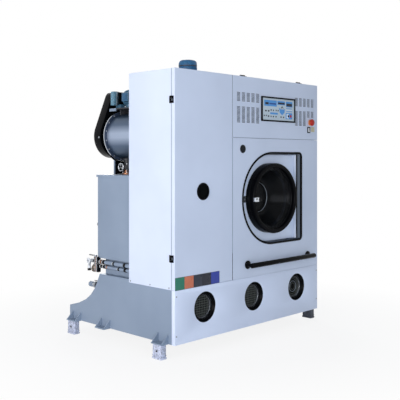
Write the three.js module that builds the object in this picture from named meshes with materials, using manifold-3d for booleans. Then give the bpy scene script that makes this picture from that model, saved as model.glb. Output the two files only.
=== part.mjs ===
// Dry cleaning machine: a sheet-metal cabinet on a welded solvent tank, with a glazed loading door,
// a turning cage in its tub, a still, a spin-disc filter with its belt drive, and a drying fan.
// Millimetres. X runs to the right, Y runs back from the front panels, Z runs up from the floor.
import * as THREE from 'three';
import { mergeVertices } from 'three/addons/utils/BufferGeometryUtils.js';
import Module from 'manifold-3d';

const wasm = await Module();
wasm.setup();

// ---- Driving dimensions ----
// Cabinet
const cabinetWidth = 1590;
const sideDepth = 460;
const footHeight = 95;
const plinthHeight = 355;
const loadingHeight = 1005;
const controlHeight = 440;
const columnMargin = 118;    // between the column door and the loading door's cutout
const sheet = 3;
const panelReturn = 30;
const frameTube = 40;
const panelFlange = 20;
const panelGap = 0.7;    // between a panel that opens and the one behind it
const seam = 2.4;        // gap round a panel that opens
const seat = 0.3;        // gap between pieces that rest on each other
const running = 0.4;     // radial gap round a turning shaft

// Solvent tank under the cabinet
const tankPlate = 5;
const tankRear = 1157;
const tankStep = 21;
const tankDeckEnd = 790;
const tankTailHeight = 100;
const shoulderRun = 60;      // the back's curve bends here first
const shoulderDrop = 131;
const tailRun = 100;
const tailDrop = 216;
const tankFrontWall = 50;
const portholeRadius = 103.5;
const portholeInset = 281;   // from each side to the middle of the outer ones
const portholeHeight = 211;
const windowRadius = 88;
const windowRim = 8;
const windowFlange = 8;
const windowDepth = 25;
const windowGlassDepth = 11;
const windowRibs = 3;
const windowRibPitch = 42;
const windowRibHeight = 4;

// Welded brackets and feet
const bracketReach = 62;
const bracketHeight = 61;
const bracketLength = 104;
const bracketPlate = 8;
const footWidth = 47;
const footLength = 84;
const footCorner = 6;
const footPad = 12;
const footFlare = 3;
const frontBracketY = 112;
const middleBracketY = 716;
const rearBracketY = 1062;

// Corner hinges of the column door and the control flap
const hingeHeight = 48;
const hingeReach = 21;
const hingeLeaf = 3;
const knuckleRadius = 5.5;
const hingePinRadius = 2.2;
const hingeInset = 205;          // from the column door's ends
const flapHingeInset = 143;      // from the flap's left end
const flapHingeRightInset = 219;

// Loading door
const doorFromRight = 585;
const doorRise = 561;        // from the plinth's top to the door's centre
const cutoutRadius = 330;
const cutoutReach = 360;     // from the door's centre to the straight side
const cutoutCorner = 12;
const trimCorner = 38;
const trimWidth = 15;
const trimLip = 3;
const trimProud = 5;
const trimDepth = 3;
const leafClearance = 8;
const leafFront = 37;
const leafThickness = 15;
const ringRadius = 261;
const ringFront = -41;
const ringWall = 33;
const glassWall = 8;
const glassEndRadius = 150;
const glassEnd = 150;
const glassRim = 222;
const stileWidth = 48;
const stileRadius = 14;
const stileSetback = 6;
const stileFace = 7;         // the stile's flat front stands this far before its pin
const pinRadius = 6;
const lugHeight = 12;
const latchInset = 34;
const latchArm = 62;
const latchHandle = 36;

// Tub, cage and drive
const tubRadius = 430;
const tubWall = 4;
const tubFront = 58;
const tubRear = 700;
const tubMouth = 246;
const cageGap = 28;
const cageWall = 3;
const cageFront = 84;
const cageRear = 664;
const cageMouth = 258;
const lifterCount = 3;
const lifterHeight = 72;
const saddleHalf = 210;
const saddlePlate = 12;
const saddleWrap = 90;
const saddleFront = 62;
const saddleRear = 150;
const trapHalf = 90;
const trapFront = 230;
const trapRear = 400;
const trapNeck = 30;         // the trap's neck is this much narrower all round
const shaftRadius = 30;
const housingRadius = 95;
const housingLength = 88;
const housingFlange = 60;
const armReach = 330;
const armDepth = 30;
const armHalf = 22;
const pulleyRadius = 230;
const pulleyWidth = 38;
const pulleyRim = 16;
const pulleySpokes = 5;
const motorPulleyRadius = 46;
const motorShaftRadius = 16;
const beltThickness = 8;
const beltLift = 2.6;    // the belts run this far off their pulleys, so that their flats clear them
const beltSteps = 7;
const driveMotorInset = 165;
const driveMotorRise = 104;
const driveMotorRadius = 84;
const driveMotorLength = 220;
const motorFins = 4;
const motorFootSpread = 60;
const motorFootHalf = 16;
const motorBaseHalf = 90;

// Spin-disc filter on the left, behind the side panel
const filterX = 278;
const filterRise = 301;      // above the still
const filterRadius = 167;
const filterFront = 300;
const filterRear = 885;
const filterWall = 4;
const flangeRadius = 188;
const flangeThickness = 16;
const flangeBolts = 6;
const motorStandHeight = 33;
const motorFootHeight = 20;
const filterMotorRadius = 65;
const filterMotorFront = 640;
const filterMotorRear = 800;
const gearHeadFront = 838;
const gearHeadRear = 908;
const gearHeadSize = 96;
const guardFront = 930;
const guardRear = 1007;
const guardRadius = 165;
const guardTopRadius = 60;
const guardWall = 3;
const filterPulleyRadius = 120;
const filterMotorPulleyRadius = 34;
const filterShaftRadius = 14;

// Still, pipes and valves behind the left side panel
const stillLeft = 20;
const stillGap = 65;         // between the still and the tub
const stillNotch = 52;
const stillWall = 4;
const stillEdge = 8;
const stillKnobHeight = 241;
const stillFront = 110;
const stillRear = 837;
const stillLegs = 111;
const stillHeight = 592;
const stillLip = 14;
const stillSkirtInset = 26;
const feedPipeRadius = 14;
const feedPipeDrop = 25;     // below the still
const returnPipeRadius = 11;
const returnPipeDrop = 58;
const pipeX = 29;
const valveY = 850;
const valveLead = 34;        // from the valve's front end to its middle
const strainerLead = 30;     // the strainer starts this far before the still's back
const drainY = 812;
const drainPipeRadius = 26;
const pipeClampRear = 110;
const pipeClampFront = 330;
const pipeClampWidth = 20;
const fittingX = 60;
const fittingY = 872;
const fittingZ = 369;

// Fan, air duct, electrics and pump
const fanX = 473;
const fanY = 360;
const fanCapRadius = 68;
const fanCapHeight = 130;
const fanRadius = 118;
const fanScrollHeight = 130;
const fanBlades = 6;
const ductWidth = 720;
const ductDepth = 360;
const ductDrop = 93.4;       // below the top of the fan's scroll
const electricsY = 180;
const relayCount = 6;
const relayPitch = 128;
const relayWidth = 94;
const relayHeight = 80;
const relayDepth = 58;
const contactorDepth = 76;
const relayRow = 70;
const contactorRow = 220;
const pumpFromStill = 180;
const pumpY = 600;
const pumpRadius = 70;
const pumpRise = 86;
const pumpMotorRadius = 54;
const pumpMotorLength = 166;
const pumpOutlet = 84;
const pumpLead = 120;        // the volute starts this far before the pump's middle

// Controls on the flap
const displayFromRight = 510;
const displayDrop = 220;
const displayWidth = 412;
const displayHeight = 184;
const displayFrame = 14;
const displayProud = 8;
const ventColumns = 5;
const ventColumnPitch = 53;
const ventSlotWidth = 39;
const ventSlotHeight = 18;
const ventSlotPitch = 31;
const ventInset = 50;
const ventFromRight = 299;
const ventUpperDrop = 179;
const ventUpperSlots = 2;
const ventLowerDrop = 331;
const ventLowerSlots = 4;
const stopFromRight = 100;
const stopDrop = 302;
const stopRadius = 27;
const stopTravel = 6;
const stopHeight = 20;
const stopStem = 12;
const switchFromRight = 119;
const switchDrop = 361;
const switchWidth = 37;
const switchHeight = 48;

// Small fittings on the front
const sightX = 261;
const sightRise = 635;
const sightRadius = 58.5;
const bungInset = 113;
const bungDrop = 80;
const bungRadius = 30;
const bungShoulder = 9;
const railInset = 165;
const railFromRight = 136;
const railRise = 92;
const railRadius = 15;
const railStandoff = 62;
const railFlange = 30;
const tileWidth = 84;
const tileHeight = 83;
const tileCount = 5;
const tileThickness = 1.5;

// Flat sides of round pieces, from the tub down to small fittings
const hugeSides = 24;
const largeSides = 18;
const mediumSides = 12;
const smallSides = 8;
const tinySides = 7;
const hexSides = 6;
const doorSides = 14;     // on the round half of the loading door's D
const cornerSides = 3;

// ---- Heights and places that follow from them ----
const plinthTop = footHeight + plinthHeight;
const controlBottom = plinthTop + loadingHeight;
const cabinetTop = controlBottom + controlHeight;
const cabinetInnerTop = cabinetTop - sheet;
const deckTop = plinthTop + tankStep;
const innerY = panelReturn + seat;
const doorX = cabinetWidth - doorFromRight;
const portholePitch = cabinetWidth / 2 - portholeInset;
const doorZ = plinthTop + doorRise;
const columnWidth = doorX - cutoutRadius - columnMargin;
const hingePinX = -hingeLeaf - knuckleRadius + 1;
const upperHingeZ = cabinetTop - hingeInset;
const lowerHingeZ = plinthTop + hingeInset;
const flapHingeLeftX = columnWidth + flapHingeInset;
const flapHingeRightX = cabinetWidth - flapHingeRightInset;
const cutoutRight = doorX + cutoutReach;
const stilePinX = cutoutRight - stileRadius - 1;
const stilePinY = stileSetback + stileFace;
const latchX = doorX - ringRadius + latchInset;
const leafRadius = cutoutRadius - leafClearance;
const leafBack = leafFront + leafThickness;
const housingRear = tubRear + seat + housingLength;
const pulleyFront = housingRear + 8;
const driveMotorX = cabinetWidth - driveMotorInset;
const driveMotorZ = deckTop + driveMotorRise;
const driveMotorRear = pulleyFront - 12;
const cageRadius = tubRadius - cageGap;
const stillRight = doorX - tubRadius - stillGap;
const pumpX = stillRight + pumpFromStill;
const stillBottom = deckTop + stillLegs;
const stillTop = stillBottom + stillHeight;
const feedPipeZ = stillBottom - feedPipeDrop;
const returnPipeZ = stillBottom - returnPipeDrop;
const filterZ = stillTop + filterRise;
const motorPlateZ = filterZ + filterRadius + motorStandHeight;
const filterMotorZ = motorPlateZ + motorFootHeight + filterMotorRadius;
const filterBeltY = (guardFront + guardRear) / 2;
const displayX = cabinetWidth - displayFromRight;
const displayZ = cabinetTop - displayDrop;
const ventLeftX = columnWidth + ventInset;
const ventRightX = cabinetWidth - ventFromRight;
const ventUpperZ = cabinetTop - ventUpperDrop;
const ventLowerZ = cabinetTop - ventLowerDrop;
const stopX = cabinetWidth - stopFromRight;
const stopZ = cabinetTop - stopDrop;
const switchX = cabinetWidth - switchFromRight;
const switchZ = cabinetTop - switchDrop;
const sightZ = plinthTop + sightRise;
const bungX = columnWidth + bungInset;
const bungZ = controlBottom - bungDrop;
const railLeftX = columnWidth + railInset;
const railRightX = cabinetWidth - railFromRight;
const railZ = plinthTop + railRise;

// ---- Shape helpers ----
function signedVolume(points, triangles) {
  let volume = 0;
  const a = new THREE.Vector3();
  const b = new THREE.Vector3();
  const c = new THREE.Vector3();
  for (let i = 0; i < triangles.length; i += 3) {
    a.fromArray(points, 3 * triangles[i]);
    b.fromArray(points, 3 * triangles[i + 1]);
    c.fromArray(points, 3 * triangles[i + 2]);
    volume += a.dot(b.cross(c)) / 6;
  }
  return volume;
}

// A closed three.js geometry as a solid with its faces pointing out.
function toSolid(geometry) {
  geometry.deleteAttribute('normal');
  geometry.deleteAttribute('uv');
  const welded = mergeVertices(geometry, 1e-3);
  const points = new Float32Array(welded.attributes.position.array);
  const index = welded.index.array;
  const triangles = [];
  for (let i = 0; i < index.length; i += 3) {
    const [a, b, c] = [index[i], index[i + 1], index[i + 2]];
    if (a !== b && b !== c && c !== a) {
      triangles.push(a, b, c);
    }
  }
  if (signedVolume(points, triangles) < 0) {
    triangles.reverse();
  }
  const triVerts = new Uint32Array(triangles);
  return new wasm.Manifold(new wasm.Mesh({ numProp: 3, vertProperties: points, triVerts }));
}

function toGeometry(solid) {
  const mesh = solid.getMesh();
  const geometry = new THREE.BufferGeometry();
  geometry.setAttribute('position', new THREE.BufferAttribute(new Float32Array(mesh.vertProperties), 3));
  geometry.setIndex(new THREE.BufferAttribute(new Uint32Array(mesh.triVerts), 1));
  geometry.computeVertexNormals();
  return geometry;
}

function join(...solids) {
  return solids.reduce((sum, solid) => sum.add(solid));
}

function cut(solid, ...tools) {
  return tools.reduce((rest, tool) => rest.subtract(tool), solid);
}

// The corner radius of a round hole whose flats clear a turning shaft.
function clearBore(shaft, sides) {
  return (shaft + running) / Math.cos(Math.PI / sides);
}

// A box between two corners.
function block(x0, x1, y0, y1, z0, z1) {
  const geometry = new THREE.BoxGeometry(x1 - x0, y1 - y0, z1 - z0);
  geometry.translate((x0 + x1) / 2, (y0 + y1) / 2, (z0 + z1) / 2);
  return toSolid(geometry);
}

// An outline in X and Z, given thickness from y0 to y1.
function slabY(outline, y0, y1, steps = 12) {
  const geometry = new THREE.ExtrudeGeometry(outline,
    { depth: y1 - y0, bevelEnabled: false, curveSegments: steps });
  geometry.rotateX(Math.PI / 2);
  geometry.translate(0, y1, 0);
  return toSolid(geometry);
}

// An outline in Y and Z, given thickness from x0 to x1.
function slabX(outline, x0, x1, steps = 12) {
  const geometry = new THREE.ExtrudeGeometry(outline,
    { depth: x1 - x0, bevelEnabled: false, curveSegments: steps });
  const turn = new THREE.Matrix4().makeBasis(
    new THREE.Vector3(0, 1, 0), new THREE.Vector3(0, 0, 1), new THREE.Vector3(1, 0, 0));
  geometry.applyMatrix4(turn);
  geometry.translate(x0, 0, 0);
  return toSolid(geometry);
}

// An outline in X and Y, given thickness from z0 to z1.
function slabZ(outline, z0, z1, steps = 8) {
  const geometry = new THREE.ExtrudeGeometry(outline,
    { depth: z1 - z0, bevelEnabled: false, curveSegments: steps });
  geometry.translate(0, 0, z0);
  return toSolid(geometry);
}

// A profile of [radius, distance] pairs turned round an axis that runs along Y, X or Z through a point.
function turned(axis, profile, x, y, z, segments = mediumSides) {
  const points = profile.map(([radius, along]) => new THREE.Vector2(radius, along));
  const geometry = new THREE.LatheGeometry(points, segments);
  if (axis === 'x') {
    geometry.rotateZ(-Math.PI / 2);
  }
  if (axis === 'z') {
    geometry.rotateX(Math.PI / 2);
  }
  geometry.translate(x, y, z);
  return toSolid(geometry);
}

function rod(axis, radius, from, to, x, y, z, segments = smallSides) {
  return turned(axis, [[0, from], [radius, from], [radius, to], [0, to]], x, y, z, segments);
}

// A round pipe along a smooth route.
function pipe(route, radius, steps, sides) {
  const section = new THREE.Shape();
  for (let i = 0; i < sides; i += 1) {
    const angle = (i / sides) * 2 * Math.PI;
    const move = i === 0 ? 'moveTo' : 'lineTo';
    section[move](radius * Math.cos(angle), radius * Math.sin(angle));
  }
  const path = new THREE.CatmullRomCurve3(route.map((p) => new THREE.Vector3(...p)), false, 'catmullrom',
    0.5);
  return toSolid(new THREE.ExtrudeGeometry(section, { steps, extrudePath: path, bevelEnabled: false }));
}

// A rectangle with round corners.
function roundedRect(x0, x1, y0, y1, radius) {
  const outline = new THREE.Shape();
  outline.moveTo(x0 + radius, y0);
  outline.lineTo(x1 - radius, y0);
  outline.absarc(x1 - radius, y0 + radius, radius, -Math.PI / 2, 0, false);
  outline.lineTo(x1, y1 - radius);
  outline.absarc(x1 - radius, y1 - radius, radius, 0, Math.PI / 2, false);
  outline.lineTo(x0 + radius, y1);
  outline.absarc(x0 + radius, y1 - radius, radius, Math.PI / 2, Math.PI, false);
  outline.lineTo(x0, y0 + radius);
  outline.absarc(x0 + radius, y0 + radius, radius, Math.PI, 1.5 * Math.PI, false);
  return outline;
}

// Points of an arc, both ends included, with its angles in degrees.
function arcPoints(x, z, radius, from, to, sides) {
  const points = [];
  for (let i = 0; i <= sides; i += 1) {
    const angle = ((from + ((to - from) * i) / sides) * Math.PI) / 180;
    points.push(new THREE.Vector2(x + radius * Math.cos(angle), z + radius * Math.sin(angle)));
  }
  return points;
}

// The D of the loading door: half round on the left, straight on the right.
function doorOutline(radius, right, corner) {
  const inward = right - corner;
  return new THREE.Shape([
    ...arcPoints(doorX, doorZ, radius, 90, 270, doorSides),
    ...arcPoints(inward, doorZ - radius + corner, corner, -90, 0, cornerSides),
    ...arcPoints(inward, doorZ + radius - corner, corner, 0, 90, cornerSides),
  ]);
}

// Two circles one above the other and the tangents between them, as a belt runs.
function beltOutline(lower, lowerRadius, upper, upperRadius) {
  const reach = Math.hypot(upper[0] - lower[0], upper[1] - lower[1]);
  const heading = Math.atan2(upper[1] - lower[1], upper[0] - lower[0]);
  const wrap = Math.acos((lowerRadius - upperRadius) / reach);
  const outline = new THREE.Shape();
  outline.absarc(upper[0], upper[1], upperRadius, heading - wrap, heading + wrap, false);
  outline.absarc(lower[0], lower[1], lowerRadius, heading + wrap, heading - wrap + 2 * Math.PI, false);
  return outline;
}

// A folded sheet tray with its open side to the back.
function tray(x0, x1, z0, z1) {
  const skin = block(x0, x1, 0, panelReturn, z0, z1);
  const hollow = block(x0 + sheet, x1 - sheet, sheet, panelReturn + 1, z0 + sheet, z1 - sheet);
  return cut(skin, hollow);
}

const machine = new THREE.Group();

function piece(name, solid, colour, roughness, metalness) {
  const material = new THREE.MeshStandardMaterial({ color: colour, roughness, metalness });
  const mesh = new THREE.Mesh(toGeometry(solid), material);
  mesh.name = name;
  machine.add(mesh);
  return mesh;
}

const whitePaint = 0xbcc7e0;
const greyPaint = 0x99a6bf;
const darkPaint = 0x2a2d31;
const blackPlastic = 0x0c0e11;
const rubber = 0x141414;
const steel = 0x9aa3ab;
const motorBlue = 0x5f8fb5;

function paintedPiece(name, solid, colour) {
  return piece(name, solid, colour, 0.45, 0);
}

function blackPiece(name, solid) {
  return piece(name, solid, blackPlastic, 0.4, 0);
}

function steelPiece(name, solid) {
  return piece(name, solid, steel, 0.35, 0.9);
}

// ---- Solvent tank, brackets and feet ----
function tankProfile(inset) {
  const front = inset === 0 ? innerY : tankFrontWall + tankPlate;
  const low = inset === 0 ? plinthTop - seat : plinthTop - seat - inset;
  const outline = new THREE.Shape();
  outline.moveTo(front, footHeight + inset);
  outline.lineTo(front, low);
  outline.lineTo(sideDepth + seat + inset, low);
  outline.lineTo(sideDepth + seat + inset, deckTop - inset);
  outline.lineTo(tankDeckEnd - inset, deckTop - inset);
  outline.bezierCurveTo(
    tankDeckEnd + shoulderRun - inset, deckTop - shoulderDrop - inset,
    tankDeckEnd + tailRun - inset, deckTop - tailDrop - inset,
    tankRear - inset, footHeight + tankTailHeight - inset);
  outline.lineTo(tankRear - inset, footHeight + inset);
  return outline;
}

function portholeCentres() {
  return [-1, 0, 1].map((step) => cabinetWidth / 2 + step * portholePitch);
}

// One bracket on the left side: two gussets on a bottom flange.
function footBracket(y) {
  const half = bracketLength / 2;
  const gusset = new THREE.Shape();
  gusset.moveTo(1, footHeight + 1);
  gusset.lineTo(1, footHeight + bracketHeight);
  gusset.lineTo(-6, footHeight + bracketHeight);
  gusset.lineTo(-bracketReach + 4, footHeight + bracketPlate);
  gusset.lineTo(-bracketReach + 4, footHeight + 1);
  return join(
    block(-bracketReach, 1, y - half, y + half, footHeight, footHeight + bracketPlate),
    slabY(gusset, y - half, y - half + bracketPlate),
    slabY(gusset, y + half - bracketPlate, y + half));
}

function mirrored(solid) {
  return solid.mirror([1, 0, 0]).translate([cabinetWidth, 0, 0]);
}

function solventTank() {
  const shell = slabX(tankProfile(0), 0, cabinetWidth, 6);
  const wallX = [0, columnWidth - 23, cabinetWidth - columnWidth + 23, cabinetWidth];
  const chambers = [0, 1, 2].map((i) => {
    const left = wallX[i] + (i === 0 ? tankPlate : tankPlate / 2);
    const right = wallX[i + 1] - (i === 2 ? tankPlate : tankPlate / 2);
    return slabX(tankProfile(tankPlate), left, right, 6);
  });
  const frontPocket = block(tankPlate, cabinetWidth - tankPlate, innerY - 1, tankFrontWall,
    footHeight + tankPlate, plinthTop - seat - tankPlate);
  const mouths = portholeCentres().map((x) =>
    rod('y', windowRadius - windowRim, tankFrontWall - 1, tankFrontWall + tankPlate + 1, x, 0,
      footHeight + portholeHeight));
  const brackets = [frontBracketY, middleBracketY, rearBracketY].map(footBracket);
  return join(cut(shell, ...chambers, frontPocket, ...mouths), drainNipple(), ...brackets,
    ...brackets.map(mirrored));
}

// The welded outlet of the left chamber, with its cap.
function drainNipple() {
  const y = fittingY;
  return turned('y', [[0, y - 40], [17, y - 40], [17, y + 28], [24, y + 28], [24, y + 46], [14, y + 50],
    [14, y + 72],
    [20, y + 72], [20, y + 108], [0, y + 108]], fittingX, 0, fittingZ, tinySides);
}

function foot() {
  const [x, y] = [footWidth / 2, footLength / 2];
  const column = slabZ(roundedRect(-x, x, -y, y, footCorner), footPad, footHeight - seat, 1);
  const pad = slabZ(roundedRect(-x - footFlare, x + footFlare, -y - footFlare, y + footFlare, footCorner),
    0, footPad, 1);
  return join(column, pad);
}

function addFeet() {
  const fromSide = bracketReach / 2 + 3;
  const places = [
    ['foot_front_left', -fromSide, frontBracketY],
    ['foot_front_right', cabinetWidth + fromSide, frontBracketY],
    ['foot_rear_left', -fromSide, rearBracketY],
    ['foot_rear_right', cabinetWidth + fromSide, rearBracketY],
  ];
  for (const [name, x, y] of places) {
    paintedPiece(name, foot(), greyPaint).position.set(x, y, 0);
  }
}

// A clean-out cover of one tank chamber: a bolted flange, a raised rim and a ribbed sight glass.
function tankWindow() {
  const back = tankFrontWall - seat;
  const glassFront = back - windowGlassDepth;
  const bore = windowRadius - windowRim;
  const cover = turned('y', [
    [0, glassFront], [bore, glassFront], [bore, back - windowDepth], [windowRadius, back - windowDepth],
    [windowRadius, back - windowFlange], [windowRadius + windowFlange, back - windowFlange],
    [windowRadius + windowFlange, back], [0, back],
  ], 0, 0, 0, largeSides);
  const ribs = [];
  for (let i = 0; i < windowRibs; i += 1) {
    const z = (i - (windowRibs - 1) / 2) * windowRibPitch;
    const half = Math.sqrt((bore - 4) ** 2 - z * z);
    ribs.push(block(-half, half, glassFront - windowRibHeight, glassFront + 1, z - 4, z + 4));
  }
  return join(cover, ...ribs);
}

function addWindows() {
  const names = ['tank_window_left', 'tank_window_middle', 'tank_window_right'];
  portholeCentres().forEach((x, i) => {
    blackPiece(names[i], tankWindow()).position.set(x, 0, footHeight + portholeHeight);
  });
}

function plinthPanel() {
  const height = footHeight + portholeHeight;
  const panel = tray(0, cabinetWidth, footHeight, plinthTop - 1);
  const collars = portholeCentres().map((x) => rod('y', portholeRadius + sheet, 0, 18, x, 0, height,
    largeSides));
  const holes = portholeCentres().map((x) => rod('y', portholeRadius, -1, 19, x, 0, height, largeSides));
  return cut(join(panel, ...collars), ...holes);
}

// ---- Cabinet frame and fixed panels ----
// Square posts and rails welded into one cage of tubes. The rear middle post stops above the still.
function cabinetFrame() {
  const half = frameTube / 2;
  const left = panelFlange + sheet + 2 * seat + half;
  const right = cabinetWidth - left;
  const front = [innerY + panelGap + sheet + seat, innerY + panelGap + sheet + seat + half];
  const rear = [sideDepth - sheet - frameTube - seat, sideDepth - sheet - seat];
  const top = cabinetInnerTop - seat;
  const middle = columnWidth - half + 6;
  const doorPost = cutoutRight + trimLip + 5 + half;
  const filterRail = stillTop + stillLip + 6;
  const post = (x, [y0, y1], high) => block(x - half, x + half, y0, y1, plinthTop, high);
  const crossRail = (x0, x1, [y0, y1], z) => block(x0, x1, y0, y1, z, z + half);
  const sideRail = (x, z) => block(x - half, x + half, front[0], rear[1], z, z + half);
  const pad = (z) => block(middle + frameTube, right, innerY, front[0] + 1, z, z + half / 2);
  return join(
    post(left, front, top), post(right, front, top), post(left, rear, top), post(right, rear, top),
    post(middle, front, top), post(middle, rear, filterRail + half), post(doorPost, front, controlBottom),
    crossRail(left, right, front, top - half), crossRail(left, right, [rear[1] - half, rear[1]],
      top - half),
    crossRail(left, right, front, plinthTop), crossRail(left, right, rear, plinthTop),
    crossRail(left, middle, rear, filterRail), crossRail(middle, right, front, controlBottom - half / 2),
    pad(plinthTop), pad(controlBottom - half / 2),
    sideRail(left, top - half), sideRail(right, top - half), sideRail(left, plinthTop),
    sideRail(right, plinthTop),
    hingeLug(doorZ + cutoutRadius + trimLip + 3, doorPost),
    hingeLug(doorZ - cutoutRadius - trimLip - 3 - lugHeight, doorPost));
}

// A lug on the door post that holds one pin of the door's stile.
function hingeLug(z, postX) {
  const lug = block(stilePinX - stileRadius, postX, sheet + seat, innerY + frameTube / 2, z, z + lugHeight);
  const bore = clearBore(pinRadius, smallSides);
  return cut(lug, rod('z', bore, z - 1, z + lugHeight + 1, stilePinX, stilePinY, 0, smallSides));
}

// The room that a turning knuckle needs in the leaf beside it.
function hingeRelief(low, high) {
  return rod('z', clearBore(knuckleRadius, tinySides), low, high, hingePinX, panelReturn, 0, tinySides);
}

// The side of a corner hinge that stays on the cabinet: a leaf, the middle knuckle and the pin.
function fixedHinge(z) {
  const third = hingeHeight / 3;
  const leaf = block(-hingeLeaf, 1, panelReturn + seat, panelReturn + hingeReach, z - hingeHeight / 2,
    z + hingeHeight / 2);
  const knuckle = rod('z', knuckleRadius, z - third / 2 + seat, z + third / 2 - seat, hingePinX,
    panelReturn, 0, tinySides);
  const web = block(hingePinX, -hingeLeaf + 0.5, panelReturn + seat, panelReturn + 6,
    z - third / 2 + seat, z + third / 2 - seat);
  const relief = ['low', 'high'].map((end) => {
    const edge = end === 'low' ? z - hingeHeight / 2 - 1 : z + third / 2;
    return hingeRelief(edge, edge + third + 1);
  });
  const pin = rod('z', hingePinRadius, z - hingeHeight / 2, z + hingeHeight / 2, hingePinX, panelReturn,
    0, hexSides);
  return join(cut(leaf, ...relief), knuckle, web, pin);
}

// The side that swings with the door: a leaf and the two outer knuckles.
function swingingHinge(z) {
  const third = hingeHeight / 3;
  const leaf = block(-hingeLeaf, 1, panelReturn - hingeReach, panelReturn - seat, z - hingeHeight / 2,
    z + hingeHeight / 2);
  const ends = [-third, third].map((shift) => join(
    rod('z', knuckleRadius, z + shift - third / 2, z + shift + third / 2, hingePinX, panelReturn, 0,
      tinySides),
    block(hingePinX, -hingeLeaf + 0.5, panelReturn - 6, panelReturn - seat, z + shift - third / 2,
      z + shift + third / 2)));
  const bore = rod('z', clearBore(hingePinRadius, hexSides), z - hingeHeight, z + hingeHeight, hingePinX,
    panelReturn,
    0, hexSides);
  return cut(join(cut(leaf, hingeRelief(z - third / 2, z + third / 2)), ...ends), bore);
}

// A hinge on the cabinet's side laid on its top: X and Z change places.
function laidOnTop(hinge, x) {
  return hinge.mirror([1, 0, 0]).rotate([0, -90, 0]).translate([x, 0, cabinetTop]);
}

function sidePanel() {
  const front = innerY + panelGap;
  const skin = block(0, panelFlange, front, sideDepth, plinthTop, cabinetTop);
  const hollow = block(sheet, panelFlange + 1, front + sheet, sideDepth - sheet, plinthTop + sheet,
    cabinetInnerTop);
  return cut(skin, hollow);
}

function leftSidePanel() {
  return join(sidePanel(), fixedHinge(upperHingeZ), fixedHinge(lowerHingeZ));
}

function roofPanel() {
  const x0 = panelFlange + seat;
  const front = innerY + panelGap;
  const low = cabinetTop - panelFlange;
  const sheetTop = cut(
    block(x0, cabinetWidth - x0, front, sideDepth, low, cabinetTop),
    block(x0 + sheet, cabinetWidth - x0 - sheet, front + sheet, sideDepth - sheet, low - 1,
      cabinetInnerTop));
  const fanHole = rod('z', fanCapRadius + 2, cabinetInnerTop - 1, cabinetTop + 1, fanX, fanY, 0,
    mediumSides);
  const hinges = [flapHingeLeftX, flapHingeRightX].map((x) => laidOnTop(fixedHinge(0), x));
  return join(cut(sheetTop, fanHole), ...hinges);
}

function frontPanel() {
  const panel = tray(columnWidth + seam / 2, cabinetWidth, plinthTop, controlBottom - seam / 2);
  const reach = trimLip + seat;
  const outline = doorOutline(cutoutRadius + reach, cutoutRight + reach, cutoutCorner);
  const cutout = slabY(outline, -1, sheet + 1);
  const bungHole = rod('y', bungRadius - bungShoulder + seat, -1, sheet + 1, bungX, 0, bungZ, mediumSides);
  return cut(panel, cutout, bungHole);
}

function doorTrim() {
  const back = sheet + trimDepth;
  const grown = (reach, corner) => doorOutline(cutoutRadius + reach, cutoutRight + reach, corner);
  const outer = slabY(grown(trimWidth, trimCorner), -trimProud, -seat);
  const lip = slabY(grown(trimLip, cutoutCorner), 1 - trimProud, back);
  const inner = slabY(grown(0, cutoutCorner - trimLip), -trimProud - 1, back + 1);
  return cut(join(outer, lip), inner);
}

function cableBung() {
  return turned('y', [
    [0, -6], [bungRadius - 6, -6], [bungRadius, -2], [bungRadius, -seat],
    [bungRadius - bungShoulder, -seat],
    [bungRadius - bungShoulder, sheet + 4], [0, sheet + 4],
  ], bungX, 0, bungZ, mediumSides);
}

function grabRail() {
  const front = -railStandoff;
  const bar = rod('x', railRadius, railLeftX - 26, railRightX + 26, 0, front, railZ, smallSides);
  const posts = [railLeftX, railRightX].map((x) => turned('y', [
    [0, front], [railRadius - 4, front], [railRadius - 4, -14], [railFlange, -8], [railFlange, -seat],
    [0, -seat],
  ], x, 0, railZ, smallSides));
  return join(bar, ...posts);
}

function tileStrip() {
  const back = -seat;
  const plate = block(1, tileCount * tileWidth + 3, back - 1, back, plinthTop + 1, plinthTop + tileHeight);
  const tiles = [];
  for (let i = 0; i < tileCount; i += 1) {
    const x = 2 + i * tileWidth;
    tiles.push(block(x, x + tileWidth - 1, back - tileThickness - 0.5, back - 0.5, plinthTop + 2,
      plinthTop + tileHeight - 1));
  }
  return join(plate, ...tiles);
}

// ---- Column door with its sight glass ----
function columnDoor() {
  const panel = tray(0, columnWidth - seam / 2, plinthTop + seam / 2, cabinetTop);
  const hole = rod('y', sightRadius - 6, -1, sheet + 1, sightX, 0, sightZ, mediumSides);
  return join(cut(panel, hole), swingingHinge(upperHingeZ), swingingHinge(lowerHingeZ));
}

function columnGlassRing() {
  const r = sightRadius;
  return turned('y', [
    [r - 12, -7], [r - 3, -7], [r, -4], [r, -seat], [r - 6 - seat, -seat], [r - 6 - seat, sheet + 6],
    [r - 9, sheet + 6], [r - 9, -1], [r - 12, -1], [r - 12, -7],
  ], sightX, 0, sightZ, mediumSides);
}

function columnGlass() {
  const r = sightRadius - 9 - seat;
  return turned('y', [[0, -1 + seat], [r, -1 + seat], [r, sheet + 5], [0, sheet + 5]], sightX, 0, sightZ,
    mediumSides);
}

// ---- Control flap ----
function ventSlots() {
  const slots = [];
  const column = (x, z, count) => {
    for (let i = 0; i < count; i += 1) {
      const low = z + i * ventSlotPitch;
      slots.push(block(x, x + ventSlotWidth, -1, sheet + 1, low, low + ventSlotHeight));
    }
  };
  for (let i = 0; i < ventColumns; i += 1) {
    const shortened = i >= ventColumns - 2;
    const skipped = shortened ? ventLowerSlots / 2 : 0;
    column(ventLeftX + i * ventColumnPitch, ventUpperZ, ventUpperSlots);
    column(ventLeftX + i * ventColumnPitch, ventLowerZ, ventLowerSlots);
    column(ventRightX + i * ventColumnPitch, ventUpperZ, ventUpperSlots);
    column(ventRightX + i * ventColumnPitch, ventLowerZ + skipped * ventSlotPitch,
      ventLowerSlots - skipped);
  }
  return slots;
}

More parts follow.
